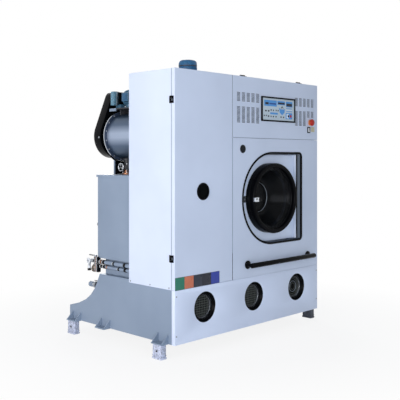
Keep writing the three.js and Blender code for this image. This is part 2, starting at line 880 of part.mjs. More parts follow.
function controlFlap() {
  const panel = tray(columnWidth + seam / 2, cabinetWidth, controlBottom + seam / 2, cabinetTop);
  const window = block(displayX - displayWidth / 2 + displayFrame + 6,
    displayX + displayWidth / 2 - displayFrame - 6,
    -1, sheet + 1, displayZ - displayHeight / 2 + displayFrame + 6,
    displayZ + displayHeight / 2 - displayFrame - 6);
  const stopHole = rod('y', stopStem + seat, -1, sheet + 1, stopX, 0, stopZ, mediumSides);
  const switchHole = block(switchX - switchWidth / 2 + 4, switchX + switchWidth / 2 - 4, -1, sheet + 1,
    switchZ - switchHeight / 2 + 4, switchZ + switchHeight / 2 - 4);
  const hinges = [flapHingeLeftX, flapHingeRightX].map((x) => laidOnTop(swingingHinge(0), x));
  return join(cut(panel, window, stopHole, switchHole, ...ventSlots()), ...hinges);
}

function displayPanel() {
  const [x0, x1] = [displayX - displayWidth / 2, displayX + displayWidth / 2];
  const [z0, z1] = [displayZ - displayHeight / 2, displayZ + displayHeight / 2];
  const frame = block(x0, x1, -displayProud, -seat, z0, z1);
  const field = block(x0 + displayFrame, x1 - displayFrame, -displayProud - 1, -displayProud + 3,
    z0 + displayFrame, z1 - displayFrame);
  const box = block(x0 + displayFrame + 8, x1 - displayFrame - 8, -1, 26, z0 + displayFrame + 8,
    z1 - displayFrame - 8);
  return join(cut(frame, field), box);
}

function stopBase() {
  const barrel = turned('y', [[0, -6], [21, -6], [24, -3], [24, -seat], [stopStem, -seat], [stopStem, 24],
    [0, 24]],
    stopX, 0, stopZ, mediumSides);
  const bore = rod('y', stopStem - 3, -7, 20, stopX, 0, stopZ, mediumSides);
  return cut(barrel, bore);
}

function stopButton() {
  const back = -6 - stopTravel - 1;
  const front = back - stopHeight;
  const stem = stopStem - 4;
  return turned('y', [
    [0, front], [stopRadius - 10, front + 1.5], [stopRadius - 2, front + 6], [stopRadius, front + 12],
    [stopRadius - 3, back - 3], [12, back], [stem, back], [stem, 10], [0, 10],
  ], stopX, 0, stopZ, mediumSides);
}

function switchFrame() {
  const [x0, x1] = [switchX - switchWidth / 2, switchX + switchWidth / 2];
  const [z0, z1] = [switchZ - switchHeight / 2, switchZ + switchHeight / 2];
  const bezel = block(x0, x1, -4, -seat, z0, z1);
  const body = block(x0 + 4 + seat, x1 - 4 - seat, -1, 22, z0 + 4 + seat, z1 - 4 - seat);
  const well = block(x0 + 6, x1 - 6, -5, 18, z0 + 6, z1 - 6);
  return cut(join(bezel, body), well);
}

// A rocker with its upper half in and its lower half out, on a pivot across its middle.
function rockerSwitch() {
  const half = switchHeight / 2 - 8;
  const side = new THREE.Shape();
  side.moveTo(2, half);
  side.lineTo(-3, half);
  side.lineTo(-2, 0);
  side.lineTo(-8, -half);
  side.lineTo(-3, -half);
  side.lineTo(6, -3);
  side.lineTo(6, 3);
  const rocker = slabX(side, switchX - switchWidth / 2 + 7, switchX + switchWidth / 2 - 7);
  return rocker.translate([0, 0, switchZ]);
}

// ---- Loading door ----
function doorLeaf() {
  const plate = slabY(doorOutline(leafRadius, stilePinX - 4, cutoutCorner - 4), leafFront, leafBack);
  const hole = rod('y', glassRim - 12, leafFront - 1, leafBack + 1, doorX, 0, doorZ, hugeSides);
  return join(cut(plate, hole), latchPlate());
}

function hingeStile() {
  const left = stilePinX + stileRadius - stileWidth;
  const faceAngle = Math.asin(stileFace / stileRadius);
  const outline = new THREE.Shape();
  outline.moveTo(left + 4, stileSetback);
  outline.absarc(stilePinX, stilePinY, stileRadius, Math.PI + faceAngle, 2.5 * Math.PI, false);
  outline.lineTo(left, stilePinY + stileRadius);
  outline.lineTo(left, stileSetback + 4);
  const bar = slabZ(outline, doorZ - leafRadius - 2, doorZ + leafRadius + 2, 5);
  const pin = rod('z', pinRadius, doorZ - cutoutRadius - 20, doorZ + cutoutRadius + 20, stilePinX,
    stilePinY, 0, smallSides);
  const foot1 = block(left + 2, stilePinX, stilePinY, leafFront - seat, doorZ - leafRadius + 2,
    doorZ + leafRadius - 2);
  return join(bar, pin, foot1);
}

function doorRing() {
  const back = leafFront - seat;
  return turned('y', [
    [ringRadius - ringWall + 4, ringFront + 6], [ringRadius - ringWall + 10, ringFront],
    [ringRadius - 9, ringFront],
    [ringRadius - 2, ringFront + 4], [ringRadius, ringFront + 11], [ringRadius, back],
    [glassRim + seat, back], [glassRim + seat, ringFront + 34], [ringRadius - ringWall, ringFront + 28],
  ].concat([[ringRadius - ringWall + 4, ringFront + 6]]), doorX, 0, doorZ, hugeSides);
}

function doorGlass() {
  const front = ringFront + 34 + seat;
  const slope = (glassRim - 8 - glassEndRadius) / (glassEnd - front - 10);
  const at = (y) => glassRim - 8 - slope * (y - front - 10);
  return turned('y', [
    [glassRim, front], [glassRim, front + 10], [at(front + 10), front + 10],
    [at(glassEnd - 12), glassEnd - 12],
    [glassEndRadius - 8, glassEnd], [0, glassEnd + 4], [0, glassEnd + 4 - glassWall],
    [glassEndRadius - 12, glassEnd - glassWall], [at(front + 10) - glassWall, front], [glassRim, front],
  ], doorX, 0, doorZ, hugeSides);
}

// The striking plate that the latch lever runs over, on the leaf's left margin.
function latchPlate() {
  const left = doorX - leafRadius + 10;
  return block(left, doorX - ringRadius - 6, leafFront - 9, leafFront + 1, doorZ - 24, doorZ + 24);
}

// The latch lever: a boss on the ring's face, an arm towards the frame and a bright thumb piece.
function latchLever() {
  const back = ringFront - seat;
  return join(
    rod('y', 15, back - 16, back, latchX, 0, doorZ, smallSides),
    block(latchX - latchArm / 2 - 14, latchX, back - 12, back - 4, doorZ - 9, doorZ + 9),
    slabY(roundedRect(latchX - 6, latchX + latchHandle, doorZ - 13, doorZ + 13, 6), back - 22, back - 8,
      4));
}

// ---- Tub, cage and drive ----
function tub() {
  const shell = turned('y', [
    [tubMouth, tubFront], [tubRadius, tubFront], [tubRadius, tubRear], [shaftRadius + 20, tubRear],
    [shaftRadius + 20, tubRear - tubWall], [tubRadius - tubWall, tubRear - tubWall],
    [tubRadius - tubWall, tubFront + tubWall], [tubMouth, tubFront + tubWall], [tubMouth, tubFront],
  ], doorX, 0, doorZ, hugeSides);
  const inside = rod('y', tubRadius - tubWall, tubFront + tubWall, tubRear - tubWall, doorX, 0, doorZ,
    hugeSides);
  const saddles = [[tubFront + saddleFront, plinthTop + seat],
    [tubRear - saddleRear, deckTop + seat]].map(([y, low]) =>
    block(doorX - saddleHalf, doorX + saddleHalf, y, y + saddlePlate, low, doorZ - tubRadius + saddleWrap));
  return join(shell, buttonTrap(), ...saddles.map((saddle) => cut(saddle, inside)));
}

// The trap under the tub that catches buttons, with its lid to the front.
function buttonTrap() {
  const low = plinthTop + seat;
  const top = doorZ - tubRadius;
  return join(
    block(doorX - trapHalf, doorX + trapHalf, trapFront, trapRear, low, top - 24),
    block(doorX - trapHalf + trapNeck, doorX + trapHalf - trapNeck, trapFront + trapNeck,
      trapRear - trapNeck,
      top - 26, top + 3),
    block(doorX - trapHalf - 10, doorX + trapHalf + 10, trapFront - 8, trapFront + 1, low + 6, top - 30));
}

function doorSeal() {
  return turned('y', [
    [tubMouth + 2, leafBack + seat], [tubMouth + 22, leafBack + seat], [tubMouth + 22, tubFront - seat],
    [tubMouth + 2, tubFront - seat], [tubMouth + 2, leafBack + seat],
  ], doorX, 0, doorZ, hugeSides);
}

// A hollow rib inside the cage that lifts the load.
function lifter(angle) {
  const rib = new THREE.Shape();
  rib.moveTo(-48, cageRadius - 8);
  rib.lineTo(-16, cageRadius - lifterHeight + 12);
  rib.lineTo(-8, cageRadius - lifterHeight);
  rib.lineTo(8, cageRadius - lifterHeight);
  rib.lineTo(16, cageRadius - lifterHeight + 12);
  rib.lineTo(48, cageRadius - 8);
  const solid = slabY(rib, cageFront + 30, cageRear - 1, 4);
  return solid.rotate([0, angle, 0]).translate([doorX, 0, doorZ]);
}

function cage() {
  const back = cageRear;
  const shell = turned('y', [
    [0, back], [cageRadius, back], [cageRadius, cageFront + 14], [cageRadius - 14, cageFront],
    [cageMouth, cageFront], [cageMouth, cageFront + cageWall], [cageRadius - 15, cageFront + cageWall],
    [cageRadius - cageWall, cageFront + 15], [cageRadius - cageWall, back - cageWall], [0, back - cageWall],
  ], doorX, 0, doorZ, hugeSides);
  const hub = turned('y', [
    [0, back - 1], [90, back - 1], [70, back + 14], [shaftRadius + 6, back + 20], [shaftRadius, back + 20],
    [shaftRadius, pulleyFront + pulleyWidth + 6], [0, pulleyFront + pulleyWidth + 6],
  ], doorX, 0, doorZ, mediumSides);
  const lifters = [];
  for (let i = 0; i < lifterCount; i += 1) {
    lifters.push(lifter(30 + (i * 360) / lifterCount));
  }
  return join(shell, hub, ...lifters);
}

function bearingHousing() {
  const front = tubRear + seat;
  const bore = clearBore(shaftRadius, mediumSides);
  const barrel = turned('y', [
    [bore, front], [housingRadius + housingFlange, front], [housingRadius + housingFlange, front + 10],
    [housingRadius, front + 14],
    [housingRadius - 20, housingRear - 8], [housingRadius - 28, housingRear], [bore, housingRear],
    [bore, front],
  ], doorX, 0, doorZ, mediumSides);
  const arms = [45, 135].map((angle) => {
    const arm = block(-armReach, armReach, front, front + armDepth, -armHalf, armHalf);
    return arm.rotate([0, angle, 0]).translate([doorX, 0, doorZ]);
  });
  const shaftHole = rod('y', bore, front - 1, housingRear + 1, doorX, 0, doorZ, mediumSides);
  return cut(join(barrel, ...arms), shaftHole);
}

function cagePulley() {
  const back = pulleyFront + pulleyWidth;
  const bore = shaftRadius + seat;
  const rim = turned('y', [
    [pulleyRadius - pulleyRim, pulleyFront], [pulleyRadius + 4, pulleyFront],
    [pulleyRadius, pulleyFront + 7],
    [pulleyRadius, back - 7], [pulleyRadius + 4, back], [pulleyRadius - pulleyRim, back],
    [pulleyRadius - pulleyRim, pulleyFront],
  ], doorX, 0, doorZ, hugeSides);
  const hub = turned('y', [
    [bore, pulleyFront], [62, pulleyFront], [62, back], [bore, back], [bore, pulleyFront],
  ], doorX, 0, doorZ, mediumSides);
  const spokes = [];
  for (let i = 0; i < pulleySpokes; i += 1) {
    const spoke = block(50, pulleyRadius - pulleyRim + 4, pulleyFront + 10, back - 10, -14, 14);
    spokes.push(spoke.rotate([0, (i * 360) / pulleySpokes, 0]).translate([doorX, 0, doorZ]));
  }
  return join(rim, hub, ...spokes);
}

function belt(lower, lowerRadius, upper, upperRadius, y0, y1, thickness) {
  const outer = slabY(beltOutline(lower, lowerRadius + thickness, upper, upperRadius + thickness), y0, y1,
    beltSteps);
  const inner = slabY(beltOutline(lower, lowerRadius, upper, upperRadius), y0 - 1, y1 + 1, beltSteps);
  return cut(outer, inner);
}

function driveBelt() {
  const y0 = pulleyFront + 9;
  const y1 = pulleyFront + pulleyWidth - 9;
  return belt([doorX, doorZ], pulleyRadius + beltLift, [driveMotorX, driveMotorZ],
    motorPulleyRadius + beltLift,
    y0, y1, beltThickness);
}

function motorPulley() {
  const back = pulleyFront + pulleyWidth;
  const wheel = turned('y', [
    [0, pulleyFront], [motorPulleyRadius + 4, pulleyFront], [motorPulleyRadius, pulleyFront + 7],
    [motorPulleyRadius, back - 7], [motorPulleyRadius + 4, back], [0, back],
  ], driveMotorX, 0, driveMotorZ, mediumSides);
  return join(wheel, rod('y', motorShaftRadius, driveMotorRear - 40, pulleyFront + 2, driveMotorX, 0,
    driveMotorZ, smallSides));
}

function finnedMotor(x, z, radius, front, rear) {
  const body = turned('y', [
    [0, front], [radius * 0.82, front], [radius * 0.95, front + 6], [radius * 0.95, front + 46],
    [radius * 0.86, front + 50],
    [radius * 0.86, rear - 18], [radius, rear - 14], [radius, rear - 5], [radius * 0.55, rear], [0, rear],
  ], x, 0, z, mediumSides);
  const fins = [];
  for (let i = 0; i < motorFins; i += 1) {
    const fin = block(0, radius, front + 50, rear - 16, -3, 3);
    fins.push(fin.rotate([0, ((i + 0.5) * 360) / motorFins, 0]).translate([x, 0, z]));
  }
  return join(body, ...fins);
}

function driveMotor() {
  const front = driveMotorRear - driveMotorLength;
  const low = deckTop + seat;
  const motor = finnedMotor(driveMotorX, driveMotorZ, driveMotorRadius, front, driveMotorRear);
  const feet = [-1, 1].map((side) => {
    const x = driveMotorX + side * motorFootSpread;
    return block(x - motorFootHalf, x + motorFootHalf, front + 55, driveMotorRear - 20, low,
      driveMotorZ - 40);
  });
  const base = block(driveMotorX - motorBaseHalf, driveMotorX + motorBaseHalf, front + 45,
    driveMotorRear - 10,
    low, low + 10);
  const socket = rod('y', clearBore(motorShaftRadius, smallSides), driveMotorRear - 42, driveMotorRear + 1,
    driveMotorX, 0, driveMotorZ, smallSides);
  return cut(join(motor, ...feet, base), socket);
}

// ---- Spin-disc filter with its belt drive ----
function filterShell() {
  const filterBore = clearBore(filterShaftRadius, smallSides) / Math.cos(Math.PI / largeSides);
  const rear = filterRear + flangeThickness;
  const shell = turned('y', [
    [0, filterFront], [filterRadius * 0.7, filterFront + 12], [filterRadius, filterFront + 60],
    [filterRadius, filterRear], [flangeRadius, filterRear], [flangeRadius, rear],
    [filterBore, rear], [filterBore, rear - 12],
    [filterRadius - filterWall, rear - 12], [filterRadius - filterWall, filterFront + 62],
    [filterRadius * 0.7 - 4, filterFront + 18], [0, filterFront + 6],
  ], filterX, 0, filterZ, largeSides);
  const bolts = [];
  for (let i = 0; i < flangeBolts; i += 1) {
    const angle = ((i + 0.5) / flangeBolts) * 2 * Math.PI;
    const r = (flangeRadius + filterRadius) / 2;
    bolts.push(rod('y', 8, filterRear - 7, rear + 6, filterX + r * Math.cos(angle), 0,
      filterZ + r * Math.sin(angle), hexSides));
  }
  const low = filterZ + filterRadius - 12;
  const brackets = [filterMotorFront + 30, gearHeadRear - 36].map((y) =>
    block(filterX - 70, filterX + 70, y, y + 8, low, motorPlateZ + 2));
  const plate = block(filterX - 96, filterX + 96, filterMotorFront + 10, gearHeadRear, motorPlateZ,
    motorPlateZ + 8);
  const saddles = [filterFront + 90, drainY - 85].map((y) => cut(
    block(filterX - 120, filterX + 120, y, y + 10, stillTop + seat + stillLip, filterZ - 90),
    rod('y', filterRadius - filterWall, y - 1, y + 11, filterX, 0, filterZ, largeSides)));
  return join(shell, ...bolts, ...brackets, plate, ...saddles);
}

function filterMotor() {
  const low = motorPlateZ + 8 + seat;
  const half = gearHeadSize / 2;
  return cut(
    join(
      finnedMotor(filterX, filterMotorZ, filterMotorRadius, filterMotorFront, filterMotorRear),
      rod('y', 32, filterMotorRear - 2, gearHeadFront + 2, filterX, 0, filterMotorZ, smallSides),
      block(filterX - half, filterX + half, gearHeadFront, gearHeadRear, filterMotorZ - half,
        filterMotorZ + half),
      block(filterX - 60, filterX + 60, filterMotorFront + 55, filterMotorRear - 20, low,
        filterMotorZ - 50),
      block(filterX - 40, filterX + 40, gearHeadFront + 6, gearHeadRear - 8, low, filterMotorZ - half + 2),
      block(filterX - filterMotorRadius - 26, filterX - filterMotorRadius + 14, filterMotorFront + 60,
        filterMotorRear - 30,
        filterMotorZ - 30, filterMotorZ + 34)),
    rod('y', clearBore(filterShaftRadius, smallSides), gearHeadRear - 40, gearHeadRear + 1, filterX, 0,
      filterMotorZ, smallSides));
}

function pulleyProfile(radius, y0, y1) {
  const middle = (y0 + y1) / 2;
  return [[0, y0], [radius, y0], [radius, y0 + 3], [radius - 9, middle - 4], [radius - 9, middle + 4],
    [radius, y1 - 3], [radius, y1], [0, y1]];
}

function filterPulley() {
  const wheel = turned('y', pulleyProfile(filterPulleyRadius, filterBeltY - 15, filterBeltY + 15),
    filterX, 0, filterZ, mediumSides);
  const shaft = rod('y', filterShaftRadius, filterRear + 8, filterBeltY, filterX, 0, filterZ, smallSides);
  return join(wheel, shaft);
}

function filterMotorPulley() {
  const wheel = turned('y', pulleyProfile(filterMotorPulleyRadius, filterBeltY - 15, filterBeltY + 15),
    filterX, 0, filterMotorZ, smallSides);
  const shaft = rod('y', filterShaftRadius, gearHeadRear - 38, filterBeltY, filterX, 0, filterMotorZ,
    smallSides);
  return join(wheel, shaft);
}

function filterBelt() {
  return belt([filterX, filterZ], filterPulleyRadius - 9 + beltLift, [filterX, filterMotorZ],
    filterMotorPulleyRadius - 9 + beltLift, filterBeltY - 3.4, filterBeltY + 3.4, 7);
}

function beltGuard() {
  const lower = [filterX, filterZ];
  const upper = [filterX, filterMotorZ];
  const shell = slabY(beltOutline(lower, guardRadius, upper, guardTopRadius), guardFront, guardRear, 8);
  const hollow = slabY(beltOutline(lower, guardRadius - guardWall, upper, guardTopRadius - guardWall),
    guardFront + guardWall, guardRear - guardWall, 8);
  const holes = [
    rod('y', filterShaftRadius + 4, guardFront - 1, guardFront + guardWall + 1, filterX, 0, filterZ,
      smallSides),
    rod('y', filterShaftRadius + 4, guardFront - 1, guardFront + guardWall + 1, filterX, 0, filterMotorZ,
      smallSides),
  ];
  const spacers = [-1, 1].map((side) =>
    block(filterX + side * 100 - 12, filterX + side * 100 + 12, filterRear + flangeThickness + seat,
      guardFront + 1,
      filterZ - 40, filterZ + 40));
  return join(cut(shell, hollow, ...holes), ...spacers);
}

// ---- Still, pipes and valves ----
// A wide rear part and a narrower front part that passes between the cabinet's posts.
function stillOutline(inset) {
  const [left, right] = [stillLeft + inset, stillRight - inset];
  const step = sideDepth + 2 + inset;
  const front = stillFront - (inset > 0 ? 1 : 0);
  const outline = new THREE.Shape();
  outline.moveTo(left + stillNotch, front);
  outline.lineTo(right, front);
  outline.lineTo(right, stillRear - inset);
  outline.lineTo(left, stillRear - inset);
  outline.lineTo(left, step);
  outline.lineTo(left + stillNotch, step);
  return outline;
}

function stillBox() {
  const body = cut(slabZ(stillOutline(0), stillBottom, stillTop),
    slabZ(stillOutline(stillWall), stillBottom + stillWall, stillTop - stillWall));
  const step = sideDepth + 2;
  const lipTop = stillTop + stillLip;
  const lip = join(
    block(stillLeft - stillEdge, stillRight + stillEdge, step, stillRear + stillEdge, stillTop - 2, lipTop),
    block(stillLeft + stillNotch, stillRight + stillEdge, stillFront, step + 1, stillTop - 2, lipTop));
  const skirt = (inset, low, high) => block(
    stillLeft + stillSkirtInset + inset, stillRight - 20 - inset,
    sideDepth + 10 + inset, stillRear - 60 - inset, low, high);
  const hollow = skirt(stillWall, deckTop - 1, stillBottom - 1);
  const legs = [stillLeft + stillNotch + 10, stillRight - 60].map((x) =>
    block(x, x + 30, stillFront + 30, stillFront + 60, plinthTop + seat, stillBottom + 2));
  const knob = turned('y', [[0, stillRear - 1], [9, stillRear - 1], [9, stillRear + 16],
    [20, stillRear + 18],
    [20, stillRear + 34], [14, stillRear + 38], [0, stillRear + 38]],
  stillLeft + 40, 0, stillBottom + stillKnobHeight, smallSides);
  return join(body, lip, cut(skirt(0, deckTop + seat, stillBottom + 2), hollow), ...legs, knob);
}

// The still's front cover with its own sight glass, behind the one in the column door.
function stillDoor() {
  const back = stillFront - seat;
  const cover = slabY(roundedRect(stillLeft + stillNotch + 4, stillRight - 4, stillBottom + 6,
    stillTop - 6, 30), back - 8, back, 3);
  const glass = turned('y', [
    [0, back - 14], [46, back - 14], [46, back - 26], [62, back - 26], [68, back - 7], [0, back - 7],
  ], sightX, 0, sightZ, mediumSides);
  return join(cover, glass);
}

// A pipe along the still, held by two clamps on the still's skirt.
function longPipe(radius, z, rear) {
  const x = pipeX - radius;
  const clampX = stillLeft + stillSkirtInset - seat;
  const clamps = [stillRear - pipeClampFront, stillRear - pipeClampRear].map((y) => join(
    rod('y', radius + 3, y, y + pipeClampWidth, x, 0, z, tinySides),
    block(x, clampX, y, y + pipeClampWidth, z - 5, z + 5)));
  return join(rod('y', radius, sideDepth + seat, rear, x, 0, z, smallSides), ...clamps);
}

// The valve at the end of the upper pipe: a ball body with unions at both ends.
function rearValve() {
  const x = pipeX - feedPipeRadius;
  const start = valveY - valveLead;
  const body = turned('y', [
    [0, start], [16, start], [16, start + 12], [12, start + 16], [16, start + 28], [16, start + 52],
    [12, start + 64],
    [16, start + 68], [16, start + 84], [0, start + 84],
  ], x, 0, feedPipeZ, tinySides);
  const stem = rod('z', 8, feedPipeZ + 14, feedPipeZ + 34, x, start + 40, 0, tinySides);
  const drop = pipe([
    [x, start + 80, feedPipeZ], [x, start + 104, feedPipeZ - 4], [x, start + 116, feedPipeZ - 26],
    [x, start + 118, feedPipeZ - 60], [x, start + 118, feedPipeZ - 78],
  ], 11, 6, tinySides);
  return join(body, stem, drop);
}

function rearValveHandle() {
  const x = pipeX - feedPipeRadius;
  const y = valveY + 6;
  const z = feedPipeZ + 34 + seat;
  return join(
    rod('z', 12, z, z + 10, x, y, 0, tinySides),
    slabZ(roundedRect(x - 7, x + 7, y - 4, y + 74, 6), z + 2, z + 8, 3));
}

// The strainer on the lower pipe: a body with its bowl hanging at a slant.
function strainer() {
  const x = pipeX - returnPipeRadius;
  const start = stillRear - strainerLead;
  const body = turned('y', [[0, start], [14, start], [14, start + 14], [12, start + 18], [15, start + 30],
    [15, start + 58], [12, start + 70], [0, start + 70]], x, 0, returnPipeZ, tinySides);
  const bowl = turned('z', [[0, 0], [22, 0], [25, 8], [25, 40], [18, 50], [0, 50]], 0, 0, 0, tinySides);
  return join(body, bowl.rotate([-140, 0, 0]).translate([x, start + 40, returnPipeZ - 2]));
}

// The butterfly valve and pipe that drain the filter into the still.
function filterDrain() {
  const top = filterZ - filterRadius - seat;
  const low = stillTop + stillLip + seat;
  const r = drainPipeRadius;
  return turned('z', [
    [0, low], [r + 16, low], [r + 16, low + 10], [r, low + 10], [r, low + 36], [r + 14, low + 36],
    [r + 14, low + 72],
    [r, low + 72], [r, top - 14], [r + 10, top - 14], [r + 10, top - 1], [0, top - 1],
  ], filterX, drainY, 0, smallSides);
}

function drainLever() {
  const z = stillTop + stillLip + seat + 54;
  const x = filterX - drainPipeRadius - 14 - seat;
  const hub = turned('x', [[0, -26], [7, -26], [7, -8], [12, -8], [12, 0], [0, 0]], x, drainY, z,
    tinySides);
  const wheel = turned('x', [[24, -26], [32, -26], [32, -18], [24, -18], [24, -26]], x, drainY, z,
    mediumSides);
  const spokes = [0, 120, 240].map((angle) =>
    block(-24, -20, -3, 3, 4, 27).rotate([angle, 0, 0]).translate([x, drainY, z]));
  return join(hub, wheel, ...spokes);
}

// ---- Fan, duct, electrics and pump ----
function fanMotor() {
  const top = cabinetTop + fanCapHeight;
  const r = fanCapRadius;
  return turned('z', [
    [0, top], [r - 20, top - 2], [r - 8, top - 8], [r, top - 24], [r, cabinetTop + 12],
    [r + 9, cabinetTop + 8],
    [r + 9, cabinetTop + seat], [r, cabinetTop + seat], [r, cabinetTop - 30], [16, cabinetTop - 30],
    [16, cabinetTop - 26], [0, cabinetTop - 26],
  ].reverse(), fanX, fanY, 0, mediumSides);
}

function scrollTop() {
  return cabinetTop - 30 - seat;
}

function airDuct() {
  const top = scrollTop();
  const low = top - fanScrollHeight;
  const outer = rod('z', fanRadius + 34, low, top, fanX, fanY, 0, largeSides);
  const inner = rod('z', fanRadius + 30, low + 4, top - 4, fanX, fanY, 0, largeSides);
  const eye = rod('z', fanRadius - 30, low - 1, low + 5, fanX, fanY, 0, mediumSides);
  const shaftHole = rod('z', 20, top - 5, top + 1, fanX, fanY, 0, smallSides);
  const x0 = fanX + fanRadius + 60;
  const throatOuter = block(fanX, x0 + 6, fanY + 20, fanY + fanRadius + 34, low, top);
  const throatInner = block(fanX, x0 + 10, fanY + 24, fanY + fanRadius + 30, low + 4, top - 4);
  const y0 = electricsY + 40;
  const boxLow = doorZ + tubRadius + seat;
  const boxTop = top - ductDrop;
  const boxOuter = block(x0, x0 + ductWidth, y0, y0 + ductDepth, boxLow, boxTop);
  const boxInner = block(x0 + 4, x0 + ductWidth - 4, y0 + 4, y0 + ductDepth - 4, boxLow - 1, boxTop - 4);
  return cut(join(outer, throatOuter, boxOuter), inner, eye, shaftHole, throatInner, boxInner);
}

function fanImpeller() {
  const top = scrollTop() - 14;
  const low = top - fanScrollHeight + 34;
  const blades = [];
  for (let i = 0; i < fanBlades; i += 1) {
    const blade = block(fanRadius - 26, fanRadius, -2, 2, low, top + 2);
    blades.push(blade.rotate([0, 0, ((i + 0.5) * 360) / fanBlades]).translate([fanX, fanY, 0]));
  }
  const disc = rod('z', fanRadius + 2, top, top + 4, fanX, fanY, 0, mediumSides);
  const hub = rod('z', 14, low + 10, cabinetTop - 30 + 3, fanX, fanY, 0, smallSides);
  const rim = turned('z', [[fanRadius - 28, low], [fanRadius + 2, low], [fanRadius + 2, low + 4],
    [fanRadius - 28, low + 4],
    [fanRadius - 28, low]], fanX, fanY, 0, mediumSides);
  return join(disc, hub, rim, ...blades);
}

// The plate that carries the contactors and relays, on two brackets from the frame's front rail.
function electricalPlate() {
  const x0 = columnWidth + 60;
  const x1 = cabinetWidth - 90;
  const z0 = controlBottom + 34;
  const z1 = cabinetTop - frameTube - 14;
  const back = electricsY + sheet;
  const railRear = innerY + panelGap + sheet + 2 * seat + frameTube / 2;
  const parts = [block(x0, x1, electricsY, back, z0, z1)];
  for (const x of [x0 + 20, x1 - 50]) {
    parts.push(block(x, x + 30, railRear, back, controlBottom - 6, controlBottom + 2));
    parts.push(block(x, x + 30, electricsY - 4, back, controlBottom - 6, z0 + 40));
    parts.push(block(x, x + 30, railRear, railRear + 4, controlBottom - 9, controlBottom + 2));
  }
  for (let i = 0; i < relayCount; i += 1) {
    const x = x0 + 60 + i * relayPitch;
    for (const [row, depth] of [[contactorRow, contactorDepth], [relayRow, relayDepth]]) {
      parts.push(block(x, x + relayWidth, electricsY - depth, electricsY + 1, z0 + row,
        z0 + row + relayHeight));
    }
  }
  return join(...parts);
}

function solventPump() {
  const low = deckTop + seat;
  const z = deckTop + pumpRise;
  const r = pumpRadius;
  const m = pumpMotorRadius;
  const start = pumpY - pumpLead;
  const volute = turned('y', [[0, 0], [r - 8, 0], [r, 10], [r, 44], [r - 18, 56], [0, 56]], pumpX, start,
    z, mediumSides);
  const outlet = turned('z', [
    [0, 0], [20, 0], [20, pumpOutlet - 10], [32, pumpOutlet - 10], [32, pumpOutlet], [0, pumpOutlet],
  ], pumpX, start + 28, z + 20, smallSides);
  const motor = turned('y', [
    [0, 0], [m, 0], [m, pumpMotorLength - 16], [m - 10, pumpMotorLength], [0, pumpMotorLength],
  ], pumpX, start + 55, z, mediumSides);
  const stand = block(pumpX - 50, pumpX + 50, start + 70, start + pumpMotorLength + 34, low, z - 30);
  return join(volute, outlet, motor, stand);
}

// ---- Assembly ----
paintedPiece('solvent_tank', solventTank(), greyPaint);
addFeet();
addWindows();
paintedPiece('plinth_panel', plinthPanel(), whitePaint);
paintedPiece('cabinet_frame', cabinetFrame(), greyPaint);
paintedPiece('left_side_panel', leftSidePanel(), whitePaint);
paintedPiece('right_side_panel', mirrored(sidePanel()), whitePaint);
paintedPiece('roof_panel', roofPanel(), whitePaint);
paintedPiece('front_panel', frontPanel(), whitePaint);
blackPiece('door_trim', doorTrim());
blackPiece('cable_bung', cableBung());
blackPiece('grab_rail', grabRail());
paintedPiece('tile_strip', tileStrip(), 0x2c6fa8);

paintedPiece('column_door', columnDoor(), whitePaint);
blackPiece('column_glass_ring', columnGlassRing());
piece('column_glass', columnGlass(), 0x30363a, 0.1, 0);

paintedPiece('control_flap', controlFlap(), whitePaint);
piece('display_panel', displayPanel(), 0x2f6fae, 0.4, 0);
blackPiece('stop_base', stopBase());
piece('stop_button', stopButton(), 0xb02418, 0.35, 0);
blackPiece('switch_frame', switchFrame());
piece('rocker_switch', rockerSwitch(), 0xd8dcdc, 0.4, 0);

paintedPiece('door_leaf', doorLeaf(), whitePaint);
paintedPiece('hinge_stile', hingeStile(), greyPaint);
blackPiece('door_ring', doorRing());
piece('door_glass', doorGlass(), 0x0d0f10, 0.1, 0);
steelPiece('latch_lever', latchLever());

steelPiece('tub', tub());
piece('door_seal', doorSeal(), rubber, 0.8, 0);
steelPiece('cage', cage());
piece('bearing_housing', bearingHousing(), darkPaint, 0.6, 0.3);
steelPiece('cage_pulley', cagePulley());
piece('drive_belt', driveBelt(), rubber, 0.8, 0);
steelPiece('motor_pulley', motorPulley());
paintedPiece('drive_motor', driveMotor(), motorBlue);

steelPiece('filter_shell', filterShell());
paintedPiece('filter_motor', filterMotor(), motorBlue);
steelPiece('filter_pulley', filterPulley());
steelPiece('filter_motor_pulley', filterMotorPulley());
piece('filter_belt', filterBelt(), rubber, 0.8, 0);
blackPiece('belt_guard', beltGuard());

paintedPiece('still_box', stillBox(), greyPaint);
paintedPiece('still_door', stillDoor(), greyPaint);
paintedPiece('feed_pipe', longPipe(feedPipeRadius, feedPipeZ, valveY - valveLead - seat), greyPaint);
paintedPiece('return_pipe', longPipe(returnPipeRadius, returnPipeZ, stillRear - strainerLead - seat),
  greyPaint);
piece('rear_valve', rearValve(), 0xb9a67a, 0.4, 0.7);
blackPiece('rear_valve_handle', rearValveHandle());
piece('strainer', strainer(), 0x6a6560, 0.5, 0.5);
piece('filter_drain', filterDrain(), darkPaint, 0.5, 0.4);
steelPiece('drain_wheel', drainLever());

paintedPiece('fan_motor', fanMotor(), motorBlue);
steelPiece('air_duct', airDuct());
piece('fan_impeller', fanImpeller(), steel, 0.5, 0.6);
paintedPiece('electrical_plate', electricalPlate(), greyPaint);
paintedPiece('solvent_pump', solventPump(), motorBlue);

// The origin is on the floor, under the middle of the whole machine.
const bounds = new THREE.Box3().setFromObject(machine);
const centre = bounds.getCenter(new THREE.Vector3());
machine.position.set(-centre.x, -centre.y, -bounds.min.z);

export default machine;
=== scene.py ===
import math

import bmesh
import bpy
from mathutils import Matrix, Vector


